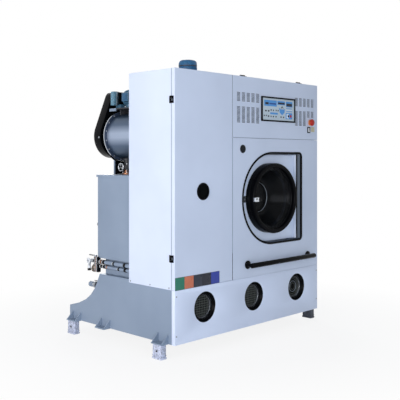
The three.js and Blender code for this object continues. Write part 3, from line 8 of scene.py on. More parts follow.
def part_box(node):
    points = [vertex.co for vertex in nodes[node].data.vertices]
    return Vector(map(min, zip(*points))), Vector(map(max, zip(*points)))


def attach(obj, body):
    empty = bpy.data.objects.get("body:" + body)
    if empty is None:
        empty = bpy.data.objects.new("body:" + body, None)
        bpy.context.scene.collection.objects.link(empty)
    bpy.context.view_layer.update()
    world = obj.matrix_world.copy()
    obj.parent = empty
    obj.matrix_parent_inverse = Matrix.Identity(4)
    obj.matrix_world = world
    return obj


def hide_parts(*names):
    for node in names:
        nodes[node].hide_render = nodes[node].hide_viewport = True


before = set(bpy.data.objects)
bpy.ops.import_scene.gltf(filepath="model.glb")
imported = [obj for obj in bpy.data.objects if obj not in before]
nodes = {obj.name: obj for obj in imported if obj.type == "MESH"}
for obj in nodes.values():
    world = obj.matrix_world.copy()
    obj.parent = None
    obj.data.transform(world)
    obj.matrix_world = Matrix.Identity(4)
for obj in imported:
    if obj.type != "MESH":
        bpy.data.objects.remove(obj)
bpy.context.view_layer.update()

# Pieces are drawn in millimetres from the machine's front left corner on the floor.
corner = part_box("plinth_panel")[0]
toRow = Matrix.Translation((corner.x, corner.y, 0)) @ Matrix.Scale(0.001, 4)
toAxis = {
    "x": Matrix.Rotation(math.pi / 2, 4, "Y"),
    "y": Matrix.Rotation(-math.pi / 2, 4, "X"),
    "z": Matrix.Identity(4),
}


# Finishes, by the name that the pieces use.
def colour(red, green, blue):
    linear = []
    for value in (red, green, blue):
        share = value / 255
        linear.append(share / 12.92 if share <= 0.04045 else ((share + 0.055) / 1.055) ** 2.4)
    return (*linear, 1)


def shade(base, step=0, factor=1):
    return colour(*[min(255, max(0, int(value * factor) + step)) for value in base])


def addNode(tree, kind, inputs=None, **settings):
    node = tree.nodes.new("ShaderNode" + kind)
    for name, value in settings.items():
        setattr(node, name, value)
    for name, value in (inputs or {}).items():
        node.inputs[name].default_value = value
    return node


def newFinish(name, roughness, metallic=0.0, specular=0.5):
    material = bpy.data.materials.new(name)
    material.use_nodes = True
    tree = material.node_tree
    shader = tree.nodes["Principled BSDF"]
    shader.inputs["Roughness"].default_value = roughness
    shader.inputs["Metallic"].default_value = metallic
    shader.inputs["Specular IOR Level"].default_value = specular
    return material, tree, shader


def objectNoise(tree, scale, stretch=(1, 1, 1), detail=4, roughness=0.55):
    coordinates = addNode(tree, "TexCoord")
    mapping = addNode(tree, "Mapping", {"Scale": stretch})
    noise = addNode(tree, "TexNoise", {"Scale": scale, "Detail": detail, "Roughness": roughness})
    tree.links.new(coordinates.outputs["Object"], mapping.inputs["Vector"])
    tree.links.new(mapping.outputs["Vector"], noise.inputs["Vector"])
    return noise.outputs["Fac"]


def tintByNoise(tree, shader, source, dark, light, low=0.3, high=0.7):
    ramp = addNode(tree, "ValToRGB")
    first, last = ramp.color_ramp.elements
    first.position, first.color = low, dark
    last.position, last.color = high, light
    tree.links.new(source, ramp.inputs["Fac"])
    tree.links.new(ramp.outputs["Color"], shader.inputs["Base Color"])


def varyRoughness(tree, shader, source, low, high):
    spread = addNode(tree, "MapRange", {"From Min": 0.3, "From Max": 0.7, "To Min": low, "To Max": high})
    tree.links.new(source, spread.inputs["Value"])
    tree.links.new(spread.outputs["Result"], shader.inputs["Roughness"])


def addBump(tree, shader, source, strength, depth):
    bump = addNode(tree, "Bump", {"Strength": strength, "Distance": depth})
    tree.links.new(source, bump.inputs["Height"])
    tree.links.new(bump.outputs["Normal"], shader.inputs["Normal"])


# Sprayed enamel: a faint orange peel under an even colour that drifts a little over a panel.
def enamel(name, base, spread=5, roughness=0.36, peel=0.12):
    material, tree, shader = newFinish(name, roughness, specular=0.35)
    tintByNoise(tree, shader, objectNoise(tree, 1.6, detail=3), shade(base, -spread), shade(base, spread))
    varyRoughness(tree, shader, objectNoise(tree, 9), roughness - 0.05, roughness + 0.07)
    addBump(tree, shader, objectNoise(tree, 420, detail=2), peel, 0.0004)
    return material


# Drawn or rolled steel: long fine scratches along one direction.
def brushedSteel(name, base, along, roughness=0.3, spread=14):
    material, tree, shader = newFinish(name, roughness, metallic=0.9)
    stretch = {"x": (0.04, 1, 1), "y": (1, 0.04, 1), "z": (1, 1, 0.04)}[along]
    scratches = objectNoise(tree, 260, stretch, detail=6, roughness=0.7)
    tintByNoise(tree, shader, scratches, shade(base, -spread), shade(base, spread))
    varyRoughness(tree, shader, scratches, roughness - 0.08, roughness + 0.16)
    addBump(tree, shader, scratches, 0.12, 0.0003)
    return material


# Castings and forged fittings: a coarse sand skin with darker hollows.
def castMetal(name, base, metallic, roughness=0.5, grain=190, depth=0.0012):
    material, tree, shader = newFinish(name, roughness, metallic=metallic)
    sand = objectNoise(tree, grain, detail=5, roughness=0.6)
    tintByNoise(tree, shader, sand, shade(base, factor=0.62), shade(base), 0.32, 0.6)
    varyRoughness(tree, shader, objectNoise(tree, 60), roughness - 0.12, roughness + 0.15)
    addBump(tree, shader, sand, 0.35, depth)
    return material


# A rolled shell lying along the row's Y axis, with painted light in its colour: a painted highlight along its
# flanks and painted shade over its crown and belly.
def shellWithPaintedShade(name, base, height, radius):
    material, tree, shader = newFinish(name, 0.36, metallic=0.55)
    split = addNode(tree, "SeparateXYZ")
    away = addNode(tree, "Math", {1: height}, operation="SUBTRACT")
    size = addNode(tree, "Math", operation="ABSOLUTE")
    part = addNode(tree, "Math", {1: radius}, operation="DIVIDE")
    ramp = addNode(tree, "ValToRGB")
    ramp.color_ramp.elements.new(0.5)
    paintedLightStops = ((0.1, (1, 1, 1)), (0.46, (0.5, 0.56, 0.62)), (1.0, (0.26, 0.36, 0.42)))
    for element, (place, level) in zip(ramp.color_ramp.elements, paintedLightStops):
        element.position = place
        element.color = colour(*[int(value * factor) for value, factor in zip(base, level)])
    scratches = objectNoise(tree, 260, (0.04, 1, 1), detail=6, roughness=0.7)
    mix = addNode(tree, "Mix", {"Factor": 0.35}, data_type="RGBA", blend_type="MULTIPLY")
    for source, target in ((addNode(tree, "TexCoord").outputs["Object"], split.inputs["Vector"]),
                           (split.outputs["Z"], away.inputs[0]), (away.outputs["Value"], size.inputs[0]),
                           (size.outputs["Value"], part.inputs[0]),
                           (part.outputs["Value"], ramp.inputs["Fac"]),
                           (ramp.outputs["Color"], mix.inputs[6]), (scratches, mix.inputs[7]),
                           (mix.outputs[2], shader.inputs["Base Color"])):
        tree.links.new(source, target)
    varyRoughness(tree, shader, scratches, 0.3, 0.46)
    addBump(tree, shader, scratches, 0.1, 0.0003)
    return material


def plastic(name, base, roughness, specular=0.4, spread=3, grain=520, strength=0.1):
    material, tree, shader = newFinish(name, roughness, specular=specular)
    tintByNoise(tree, shader, objectNoise(tree, 14), shade(base, -spread), shade(base))
    varyRoughness(tree, shader, objectNoise(tree, 22), roughness - 0.05, roughness + 0.06)
    addBump(tree, shader, objectNoise(tree, grain, detail=2), strength, 0.0003)
    return material


def tintedGlass(name, base, roughness, transmission, ior):
    material, tree, shader = newFinish(name, roughness, specular=0.5)
    shader.inputs["IOR"].default_value = ior
    shader.inputs["Transmission Weight"].default_value = transmission
    tintByNoise(tree, shader, objectNoise(tree, 6), shade(base, factor=0.8), shade(base))
    varyRoughness(tree, shader, objectNoise(tree, 11), roughness, roughness + 0.03)
    return material


finishes = {
    "white": enamel("whiteEnamel", (201, 213, 233)),
    "grey": enamel("greyEnamel", (129, 145, 165), 6, 0.42, 0.2),
    "paleRing": plastic("paleGasket", (206, 212, 218), 0.4, 0.3),
    "stile": enamel("stileEnamel", (86, 97, 110), 6, 0.4, 0.15),
    # The stile's left side face takes a white lighter than the white enamel: painted light against the shade
    # in the recess.
    "stileSidePaintedLight": enamel("stileSidePaintedLight", (220, 229, 244)),
    # The door leaf's white is a lighter copy of the white enamel: painted light against the shade in the
    # leaf's recess.
    "leafWhitePaintedLight": enamel("leafEnamelPaintedLight", (216, 229, 250)),
    # The plinth's white is a lighter copy of the white enamel: painted light where the plinth gets less
    # light.
    "plinthWhitePaintedLight": enamel("plinthEnamelPaintedLight", (208, 220, 241)),
    "darkPaint": enamel("darkEnamel", (46, 50, 56), 6, 0.45, 0.25),
    "blue": castMetal("motorEnamel", (72, 118, 148), 0.0, 0.42, 150, 0.0005),
    "bluePale": castMetal("gearEnamel", (104, 150, 174), 0.0, 0.42, 150, 0.0005),
    "blueDark": castMetal("lidEnamel", (24, 88, 130), 0.0, 0.38, 150, 0.0005),
    "fanBlue": castMetal("fanEnamel", (22, 104, 154), 0.0, 0.38, 150, 0.0005),
    "black": plastic("blackEnamel", (11, 13, 17), 0.34, 0.12),
    "gloss": plastic("ringEnamel", (8, 9, 12), 0.24, 0.04, 2, 300, 0.03),
    "matt": plastic("blackMoulding", (18, 21, 27), 0.5, 0.15),
    "rubber": plastic("rubber", (13, 14, 17), 0.62, 0.08, 3, 700, 0.3),
    # The filter shell's steel has painted shade over its crown and belly and a painted highlight along its
    # flanks.
    "shell": shellWithPaintedShade("shellSteelPaintedShade", (172, 188, 212), 1.475, 0.167),
    # The flange's front face takes a dark blue: painted shade on that face.
    "flangePaintedShade": enamel("flangeEnamelPaintedShade", (50, 62, 82), 6, 0.4, 0.2),
    "steel": brushedSteel("sheetSteel", (168, 174, 182), "y"),
    "cage": brushedSteel("cageSteel", (176, 180, 186), "x", 0.28),
    "bright": brushedSteel("brightSteel", (206, 212, 220), "z", 0.16, 8),
    "zinc": castMetal("zincScrew", (170, 176, 184), 0.8, 0.34, 400, 0.0003),
    "foot": castMetal("footSteel", (196, 205, 228), 0.15, 0.5, 90),
    # The feet on the right take a darker copy of the foot steel: painted shade.
    "footPaintedShade": castMetal("footSteelPaintedShade", (74, 80, 92), 0.3, 0.5, 90),
    "grille": castMetal("grilleSteel", (92, 98, 95), 0.4, 0.5, 200, 0.0004),
    "copper": castMetal("copper", (188, 136, 108), 0.8, 0.34, 260, 0.0003),
    "castDark": castMetal("castIron", (62, 64, 70), 0.3, 0.55),
    "bronze": castMetal("strainerBronze", (128, 116, 104), 0.6, 0.48),
    "glass": tintedGlass("doorGlass", (84, 88, 94), 0.02, 0.92, 1.12),
    "bead": brushedSteel("glassBead", (120, 130, 142), "x", 0.3, 60),
    "sight": tintedGlass("sightGlass", (8, 14, 14), 0.03, 0.4, 1.08),
    "frameBlack": plastic("displayFrame", (12, 14, 19), 0.3, 0.08),
    "membrane": plastic("membrane", (190, 206, 216), 0.42, 0.3, 4, 500, 0.06),
    "membraneBlue": plastic("membraneBlue", (86, 154, 218), 0.4, 0.3, 8, 500, 0.06),
    "membraneDeep": plastic("membraneDeep", (44, 82, 148), 0.4, 0.3, 6, 500, 0.06),
    "membraneDark": plastic("membraneDark", (20, 30, 46), 0.32, 0.3),
    "membranePale": plastic("membranePale", (216, 232, 244), 0.4, 0.3),
    "stopRed": plastic("stopRed", (178, 36, 26), 0.34, 0.3, 12),
    # The amber collar and the orange rim are lighter copies of the button's red: painted light for the
    # button's lit side.
    "stopCollarPaintedLight": plastic("stopCollarPaintedLight", (228, 142, 84), 0.4, 0.3, 8),
    "stopRimPaintedLight": plastic("stopRimPaintedLight", (222, 96, 52), 0.34, 0.4, 10),
    "labelPlain": plastic("labelPlain", (196, 192, 164), 0.5, 0.3, 6),
    "rockerWhite": plastic("rockerWhite", (214, 218, 220), 0.35),
    "tileGreen": plastic("tileGreen", (44, 122, 100), 0.3, 0.35, 8),
    "tileOrange": plastic("tileOrange", (202, 118, 90), 0.3, 0.35, 8),
    "tileSlate": plastic("tileSlate", (44, 50, 64), 0.3, 0.35, 6),
    "tileNight": plastic("tileNight", (30, 34, 48), 0.3, 0.35, 6),
    "tileBlue": plastic("tileBlue", (48, 66, 156), 0.3, 0.35, 8),
}
print("finishes:", len(finishes))


# Tools that the pieces share.
def softenEdges(part, width, segments=2, limit=28):
    sharp = [edge for edge in part.edges
             if len(edge.link_faces) == 2 and edge.calc_face_angle() > math.radians(limit)]
    if sharp and width:
        bmesh.ops.bevel(part, geom=sharp, offset=width, offset_type="OFFSET", segments=segments,
                        profile=0.5, affect="EDGES", clamp_overlap=True, material=-1)


def addPart(bm, part, finish=0, turn=None):
    if turn is not None:
        part.transform(turn)
    for face in part.faces:
        face.material_index = finish
    mesh = bpy.data.meshes.new("part")
    part.to_mesh(mesh)
    part.free()
    bm.from_mesh(mesh)
    bpy.data.meshes.remove(mesh)


# A profile of (radius, distance) pairs spun round an axis through a point.
def lathe(bm, axis, centre, profile, steps=64, finish=0, closed=False, edge=0, turn=None):
    part = bmesh.new()
    points = [part.verts.new((radius, 0, along)) for radius, along in profile]
    pairs = list(zip(points, points[1:]))
    if closed:
        pairs.append((points[-1], points[0]))
    for pair in pairs:
        part.edges.new(pair)
    bmesh.ops.spin(part, geom=part.verts[:] + part.edges[:], cent=(0, 0, 0), axis=(0, 0, 1),
                   angle=2 * math.pi, steps=steps, use_merge=True)
    bmesh.ops.remove_doubles(part, verts=part.verts, dist=0.0005)
    bmesh.ops.recalc_face_normals(part, faces=part.faces)
    if edge:
        softenEdges(part, edge)
    part.transform(Matrix.Translation(centre) @ toAxis[axis])
    addPart(bm, part, finish, turn)


def slab(bm, low, high, edge=1.0, finish=0, segments=2, turn=None):
    part = bmesh.new()
    bmesh.ops.create_cube(part, size=1)
    size = Vector(high) - Vector(low)
    bmesh.ops.scale(part, vec=size, verts=part.verts)
    if edge:
        softenEdges(part, min(edge, min(size) * 0.45), segments)
    bmesh.ops.translate(part, vec=(Vector(high) + Vector(low)) / 2, verts=part.verts)
    addPart(bm, part, finish, turn)


# A flat sheet with holes in it, given its thickness. Outlines are drawn across the chosen axis.
def sheetPlate(bm, axis, outline, holes, start, end, edge=0.8, finish=0, segments=2, turn=None):
    part = bmesh.new()
    toPoint = {
        "x": lambda a, b: (start, a, b),
        "y": lambda a, b: (a, start, b),
        "z": lambda a, b: (a, b, start),
    }[axis]
    border = []
    for loop in [outline, *holes]:
        points = [part.verts.new(toPoint(a, b)) for a, b in loop]
        border += [part.edges.new(pair) for pair in zip(points, points[1:] + points[:1])]
    bmesh.ops.triangle_fill(part, use_beauty=True, use_dissolve=False, edges=border)
    grown = bmesh.ops.extrude_face_region(part, geom=part.faces[:])
    moved = [item for item in grown["geom"] if isinstance(item, bmesh.types.BMVert)]
    step = end - start
    shift = {"x": (step, 0, 0), "y": (0, step, 0), "z": (0, 0, step)}[axis]
    bmesh.ops.translate(part, vec=shift, verts=moved)
    bmesh.ops.recalc_face_normals(part, faces=part.faces)
    softenEdges(part, edge, segments)
    addPart(bm, part, finish, turn)


# A smooth round bar through some points.
def pipeRun(bm, route, radius, finish):
    curve = bpy.data.curves.new("run", "CURVE")
    curve.dimensions = "3D"
    curve.bevel_depth = radius
    curve.bevel_resolution = 6
    curve.use_fill_caps = True
    curve.resolution_u = 8
    line = curve.splines.new("BEZIER")
    line.bezier_points.add(len(route) - 1)
    for point, place in zip(line.bezier_points, route):
        point.co = place
        point.handle_left_type = "AUTO"
        point.handle_right_type = "AUTO"
    holder = bpy.data.objects.new("run", curve)
    mesh = bpy.data.meshes.new_from_object(holder)
    part = bmesh.new()
    part.from_mesh(mesh)
    bmesh.ops.remove_doubles(part, verts=part.verts, dist=0.0005)
    bmesh.ops.recalc_face_normals(part, faces=part.faces)
    addPart(bm, part, finish)
    bpy.data.objects.remove(holder)
    bpy.data.curves.remove(curve)
    bpy.data.meshes.remove(mesh)


def circle(x, z, radius, steps=64):
    turns = [2 * math.pi * i / steps for i in range(steps)]
    return [(x + radius * math.cos(turn), z + radius * math.sin(turn)) for turn in turns]


def arc(x, z, radius, start, end, steps):
    turns = [math.radians(start + (end - start) * i / steps) for i in range(steps + 1)]
    return [(x + radius * math.cos(turn), z + radius * math.sin(turn)) for turn in turns]


def rectangle(left, right, low, high):
    return [(left, low), (right, low), (right, high), (left, high)]


def roundedBox(left, right, low, high, radius, steps=6):
    return (arc(right - radius, high - radius, radius, 0, 90, steps)
            + arc(left + radius, high - radius, radius, 90, 180, steps)
            + arc(left + radius, low + radius, radius, 180, 270, steps)
            + arc(right - radius, low + radius, radius, 270, 360, steps))


# A plain disc or bar between two distances along an axis, or a ring where it has an inner radius.
def band(bm, axis, centre, inner, outer, start, end, steps=64, finish=0):
    lathe(bm, axis, centre, rectangle(inner, outer, start, end), steps, finish, closed=inner > 0)


# A screw head that faces along an axis, with its recess.
def screwHead(bm, axis, centre, radius, height, finish=0, out=-1):
    profile = [(radius, 0), (radius, out * height * 0.45), (radius * 0.82, out * height * 0.85),
               (radius * 0.45, out * height), (radius * 0.4, out * height * 0.45), (0, out * height * 0.45)]
    lathe(bm, axis, centre, profile, 20, finish)


def hexHead(bm, axis, centre, radius, height, finish=0, out=1):
    profile = [(0, 0), (radius, 0), (radius, out * height * 0.8), (radius * 0.86, out * height),
               (0, out * height)]
    lathe(bm, axis, centre, profile, 6, finish, edge=0.25)


# Screws or nuts spread evenly round a centre, each with the size, height and finish given last.
def boltCircle(bm, head, axis, centre, reach, count, start, *shape):
    for i in range(count):
        turn = start + 2 * math.pi * i / count
        across, up = reach * math.cos(turn), reach * math.sin(turn)
        offset = {"y": (across, 0, up), "z": (across, up, 0)}[axis]
        head(bm, axis, Vector(centre) + Vector(offset), *shape)


# Carries a part that is drawn round the origin to a place, turned about the axis named.
def turnAt(place, angle, axis):
    return Matrix.Translation(place) @ Matrix.Rotation(angle, 4, axis)


# A sheet with its edges folded back, and holes through its face.
def foldedPanel(bm, left, right, low, high, holes, sheet, depth, edge, segments=2):
    outline = rectangle(left, right, low, high)
    inner = rectangle(left + sheet, right - sheet, low + sheet, high - sheet)
    sheetPlate(bm, "y", outline, holes, 0, sheet, edge, 0, segments)
    sheetPlate(bm, "y", outline, [inner], sheet - 0.6, depth, 0.5)


def finishPiece(name, bm, body, surfaces, replaced=(), crease=32):
    bmesh.ops.remove_doubles(bm, verts=bm.verts, dist=0.0005)
    bm.transform(toRow)
    mesh = bpy.data.meshes.new(name)
    bm.to_mesh(mesh)
    bm.free()
    for surface in surfaces:
        mesh.materials.append(finishes[surface])
    mesh.shade_smooth()
    mesh.set_sharp_from_angle(angle=math.radians(crease))
    piece = bpy.data.objects.new(name, mesh)
    bpy.context.scene.collection.objects.link(piece)
    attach(piece, body)
    if replaced:
        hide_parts(*replaced)


# A CAD panel keeps its shape: its triangles are merged and its folds get a small radius.
def dressPanel(node, surface, fold, limit=30):
    panel = nodes[node]
    panel.data.materials.clear()
    panel.data.materials.append(finishes[surface])
    merge = panel.modifiers.new("merge", "WELD")
    merge.merge_threshold = 0.00002
    bevel = panel.modifiers.new("fold", "BEVEL")
    bevel.width = fold / 1000
    bevel.segments = 2
    bevel.limit_method = "ANGLE"
    bevel.angle_limit = math.radians(limit)
    bevel.harden_normals = True


# Camera, floor and light.
view = {"place": (-3.8994, -3.7935, 1.3059), "yaw": -45.72, "lens": 62.65, "shift": -0.1035}
cameraData = bpy.data.cameras.new("camera")
cameraData.lens = view["lens"]
cameraData.sensor_width = 36
cameraData.shift_y = view["shift"]
camera = bpy.data.objects.new("camera", cameraData)
camera.location = view["place"]
camera.rotation_euler = (math.radians(90), 0, math.radians(view["yaw"]))
bpy.context.scene.collection.objects.link(camera)
bpy.context.scene.camera = camera
bpy.context.scene.view_settings.view_transform = "Standard"

studio = {"ambient": (0.87, 0.92, 1.0), "ambientStrength": 0.38,
          "side": {"place": (-5.2, -0.9, 1.15), "aim": (-0.8, 0.1, 1.0), "size": 3.0, "power": 162,
                   "tint": (1.0, 0.93, 0.91)},
          "front": {"place": (-3.2, -4.0, 1.25), "aim": (-0.5, -0.5, 0.8), "size": 2.6, "power": 88,
                    "tint": (0.89, 0.925, 1.0)},
          "back": {"place": (3.6, 4.6, 3.2), "aim": (0, 0.2, 1.0), "size": 3.2, "power": 170,
                   "tint": (0.92, 0.96, 1.0)},
          "floorWhite": 0.86, "whiteFrom": 1.1, "whiteBy": 2.4}


def addLamp(name, lamp):
    data = bpy.data.lights.new(name, "AREA")
    data.size = lamp["size"]
    data.energy = lamp["power"]
    data.color = lamp["tint"]
    holder = bpy.data.objects.new(name, data)
    holder.location = lamp["place"]
    aim = Vector(lamp["aim"]) - Vector(lamp["place"])
    holder.rotation_euler = aim.to_track_quat("-Z", "Y").to_euler()
    bpy.context.scene.collection.objects.link(holder)


# What the camera, a mirror or a pane sees directly turns white. All else keeps what is lit.
def whiteToCamera(tree, lit, strength):
    path = addNode(tree, "LightPath")
    seen = addNode(tree, "Math", operation="MAXIMUM")
    through = addNode(tree, "Math", operation="MAXIMUM")
    level = addNode(tree, "Math", {1: strength}, operation="MULTIPLY")
    mix = addNode(tree, "MixShader")
    for source, target in ((path.outputs["Is Camera Ray"], seen.inputs[0]),
                           (path.outputs["Is Glossy Ray"], seen.inputs[1]),
                           (seen.outputs["Value"], through.inputs[0]),
                           (path.outputs["Is Transmission Ray"], through.inputs[1]),
                           (through.outputs["Value"], level.inputs[0]),
                           (level.outputs["Value"], mix.inputs["Fac"]), (lit, mix.inputs[1])):
        tree.links.new(source, target)
    return mix


def makeWorld():
    world = bpy.data.worlds.new("studio")
    bpy.context.scene.world = world
    world.use_nodes = True
    tree = world.node_tree
    ambient = tree.nodes["Background"]
    ambient.inputs["Color"].default_value = (*studio["ambient"], 1)
    ambient.inputs["Strength"].default_value = studio["ambientStrength"]
    white = addNode(tree, "Background", {"Color": (1, 1, 1, 1)})
    mix = whiteToCamera(tree, ambient.outputs["Background"], 1.0)
    tree.links.new(white.outputs["Background"], mix.inputs[2])
    tree.links.new(mix.outputs["Shader"], tree.nodes["World Output"].inputs["Surface"])


# The floor's paint runs out into plain white away from the machine.
def paintFloor(paint):
    paint.use_nodes = True
    tree = paint.node_tree
    tree.nodes.remove(tree.nodes["Principled BSDF"])
    diffuse = addNode(tree, "BsdfDiffuse", {"Color": (0.86, 0.87, 0.88, 1)})
    glow = addNode(tree, "Emission")
    mix = whiteToCamera(tree, diffuse.outputs["BSDF"], studio["floorWhite"])
    reach = addNode(tree, "VectorMath", operation="LENGTH")
    fade = addNode(tree, "MapRange", {"From Min": studio["whiteFrom"], "From Max": studio["whiteBy"]})
    seen = addNode(tree, "Math", operation="MULTIPLY")
    outer = addNode(tree, "MixShader")
    for source, target in ((glow.outputs["Emission"], mix.inputs[2]),
                           (addNode(tree, "TexCoord").outputs["Object"], reach.inputs[0]),
                           (reach.outputs["Value"], fade.inputs["Value"]),
                           (addNode(tree, "LightPath").outputs["Is Camera Ray"], seen.inputs[0]),
                           (fade.outputs["Result"], seen.inputs[1]),
                           (seen.outputs["Value"], outer.inputs["Fac"]),
                           (mix.outputs["Shader"], outer.inputs[1]),
                           (glow.outputs["Emission"], outer.inputs[2]),
                           (outer.outputs["Shader"], tree.nodes["Material Output"].inputs["Surface"])):
        tree.links.new(source, target)


def makeStudio():
    makeWorld()
    for name in ("side", "front", "back"):
        addLamp(name + "Lamp", studio[name])
    bm = bmesh.new()
    bmesh.ops.create_grid(bm, x_segments=2, y_segments=2, size=16)
    mesh = bpy.data.meshes.new("floor")
    bm.to_mesh(mesh)
    bm.free()
    floor = bpy.data.objects.new("floor", mesh)
    bpy.context.scene.collection.objects.link(floor)
    paint = bpy.data.materials.new("floorPaint")
    paintFloor(paint)
    mesh.materials.append(paint)


makeStudio()
print("studio ready")

# Panels that keep their CAD shape, with their finish and the radius of their folds.
panels = {
    "solvent_tank": ("grey", 1.2), "cabinet_frame": ("grey", 0.8), "left_side_panel": ("white", 1.6),
    "right_side_panel": ("white", 1.6), "roof_panel": ("white", 1.6), "front_panel": ("white", 1.2),
    "column_door": ("white", 1.4), "still_box": ("grey", 1.6), "still_door": ("grey", 1.0),
    "air_duct": ("steel", 1.0), "electrical_plate": ("grey", 0.8), "door_seal": ("rubber", 0.8),
    "fan_impeller": ("steel", 0.6),
}
for node, (surface, fold) in panels.items():
    dressPanel(node, surface, fold)
print("panels dressed:", len(panels))

# Plinth, portholes and screws.
plinth = {"width": 1590, "low": 95, "high": 449, "depth": 30, "sheet": 3, "edge": 1.2,
          "porthole": 103.5, "collar": 18, "places": (281, 795, 1309), "height": 306}


def makePlinth():
    bm = bmesh.new()
    p = plinth
    holes = [circle(x, p["height"], p["porthole"], 72) for x in p["places"]]
    foldedPanel(bm, 0, p["width"], p["low"], p["high"], holes, p["sheet"], p["depth"], p["edge"])
    collar = rectangle(p["porthole"], p["porthole"] + p["sheet"], 0.4, p["collar"])
    for x in p["places"]:
        lathe(bm, "y", (x, 0, p["height"]), collar, 72, closed=True, edge=0.6)
        funnel = [(103.3, 0.7), (101.6, 1.1), (100.4, 3), (99, 9), (92, 20), (89, 24.4), (94, 24.4),
                  (103.3, 17.6)]
        lathe(bm, "y", (x, 0, p["height"]), funnel, 72, 1, closed=True)
    finishPiece("plinthCover", bm, "cabinet", ["plinthWhitePaintedLight", "gloss"], ["plinth_panel"])


tankWindow = {"radius": 88, "bore": 80, "flange": 96, "front": 24.7, "flangeFront": 41.7, "back": 49.7,
              "glass": 38.7, "studs": 8, "bars": 9, "pitch": 16}


def makeTankWindow(name, x, ringed):
    bm = bmesh.new()
    w = tankWindow
    z = plinth["height"]
    centre = (x, 0, z)
    rim = [(w["bore"], w["back"]), (w["bore"], w["front"] + 1.5), (w["bore"] + 1.5, w["front"]),
           (w["radius"] - 1.5, w["front"]), (w["radius"], w["front"] + 1.5), (w["radius"], w["flangeFront"]),
           (w["flange"], w["flangeFront"]), (w["flange"], w["back"])]
    lathe(bm, "y", centre, rim, closed=True)
    profile = [(74, 37), (w["bore"] + 0.5, 36), (w["bore"] + 0.5, 39), (74, 39)]
    lathe(bm, "y", centre, profile, 64, 1, closed=True)
    lathe(bm, "y", centre, [(77.6, 33), (80.4, 26.4), (80.4, 34), (77.6, 34.6)], 64, 4, closed=True)
    band(bm, "y", centre, 0, w["bore"] + 0.5, w["glass"], w["glass"] + 3, 64, 2)
    half = (w["bars"] - 1) / 2
    for radius in (24, 40, 56, 68) if ringed else ():
        ridge = [(radius, 36.4), (radius + 1.6, 35), (radius + 3.2, 36.4), (radius + 3.2, 38.4),
                 (radius, 38.4)]
        lathe(bm, "y", centre, ridge, 48, 5 if radius == 40 else 3, closed=True)
    for i in range(0 if ringed else w["bars"]):
        offset = (i - half) * w["pitch"]
        reach = math.sqrt(73 ** 2 - offset ** 2)
        slab(bm, (x - reach, 34.8, z + offset - 1.3), (x + reach, 37.8, z + offset + 1.3), 0.5, 3, 1)
        slab(bm, (x + offset - 1.6, 36, z - reach), (x + offset + 1.6, 38.4, z + reach), 0.4, 3, 1)
    boltCircle(bm, hexHead, "y", (x, w["front"], z), 84, w["studs"], math.pi / w["studs"], 3.4, 2.2, 1, -1)
    surfaces = ["gloss", "castDark", "sight", "grille", "bright", "bead"]
    finishPiece(name.replace("tank_window", "tankWindow"), bm, "cabinet", surfaces, [name])


screws = {"radius": 5.5, "height": 2.6,
          "plinth": ((14, 410), (14, 152), (1576, 405), (1576, 175)),
          "sideLow": (56, 241, 444), "sideUp": 462, "sideHigh": (46, 277, 449), "roof": 1895,
          "roofRear": (150, 520, 900, 1250)}


def makeScrews():
    bm = bmesh.new()
    s = screws
    places = [("y", (x, 0, z), -1) for x, z in s["plinth"]]
    for y in s["sideLow"]:
        places += [("x", (0, y, s["sideUp"]), -1), ("x", (plinth["width"], y, s["sideUp"]), 1)]
    places += [("z", (x, y, s["roof"]), 1) for y in s["sideHigh"] for x in (10, plinth["width"] - 10)]
    places += [("z", (x, 448, s["roof"]), 1) for x in s["roofRear"]]
    for axis, place, out in places:
        screwHead(bm, axis, place, s["radius"], s["height"], out=out)
    finishPiece("panelScrews", bm, "cabinet", ["zinc"])


seams = {"front": 30.6, "width": 5, "low": 452, "high": 1893, "joint": 558.3, "dark": 640, "flap": 1452}


# Thin grey sealing strips in the joints round the column door.
def makeSeams():
    bm = bmesh.new()
    m = seams
    for left, right in ((-0.35, 1.5), (plinth["width"] - 1.5, plinth["width"] + 0.35)):
        slab(bm, (left, m["front"], m["low"]), (right, m["front"] + m["width"], m["high"]), 0.3)
    slab(bm, (m["joint"], -0.3, m["low"]), (m["joint"] + 3.4, 1, m["dark"]), 0.2, 1)
    slab(bm, (m["joint"], -0.3, m["dark"]), (m["joint"] + 3.4, 1, m["flap"]), 0.2)
    finishPiece("panelSeams", bm, "cabinet", ["grey", "rubber"])


makeSeams()
makePlinth()
for name, x in zip(("tank_window_left", "tank_window_middle", "tank_window_right"), plinth["places"]):
    makeTankWindow(name, x, name.endswith("right"))
makeScrews()
print("plinth done")

feet = {"places": {"foot_front_left": (-34, 112), "foot_front_right": (1624, 112),
                   "foot_rear_left": (-34, 1062), "foot_rear_right": (1624, 1062)},
        "width": 47, "length": 84, "corner": 6, "pad": 12, "flare": 3, "top": 94.7}


def makeFoot(name, x, y):
    bm = bmesh.new()
    f = feet
    halfWidth, halfLength = f["width"] / 2, f["length"] / 2
    for grow, low, high, edge in ((0, f["pad"] - 1, f["top"], 0.8), (f["flare"], 0, f["pad"], 1.6)):
        reachX, reachY = halfWidth + grow, halfLength + grow
        outline = roundedBox(x - reachX, x + reachX, y - reachY, y + reachY, f["corner"], 4)
        sheetPlate(bm, "z", outline, [], low, high, edge)
    side = -1 if x < 0 else 1
    hexHead(bm, "x", (x + side * halfWidth, y, 52), 8, 2.6, 1, side)
    reachX, reachY = halfWidth + 1.6, halfLength + 1.6
    slab(bm, (x - reachX, y - reachY, 22), (x + reachX, y + reachY, 25), 0.8)
    # Feet on the right side get the darker copy of the steel as painted shade.
    surfaces = ["footPaintedShade" if x > 0 else "foot", "castDark"]
    finishPiece(name.replace("_", ""), bm, "cabinet", surfaces, [name])


for name, (x, y) in feet["places"].items():
    makeFoot(name, x, y)
print("feet done")

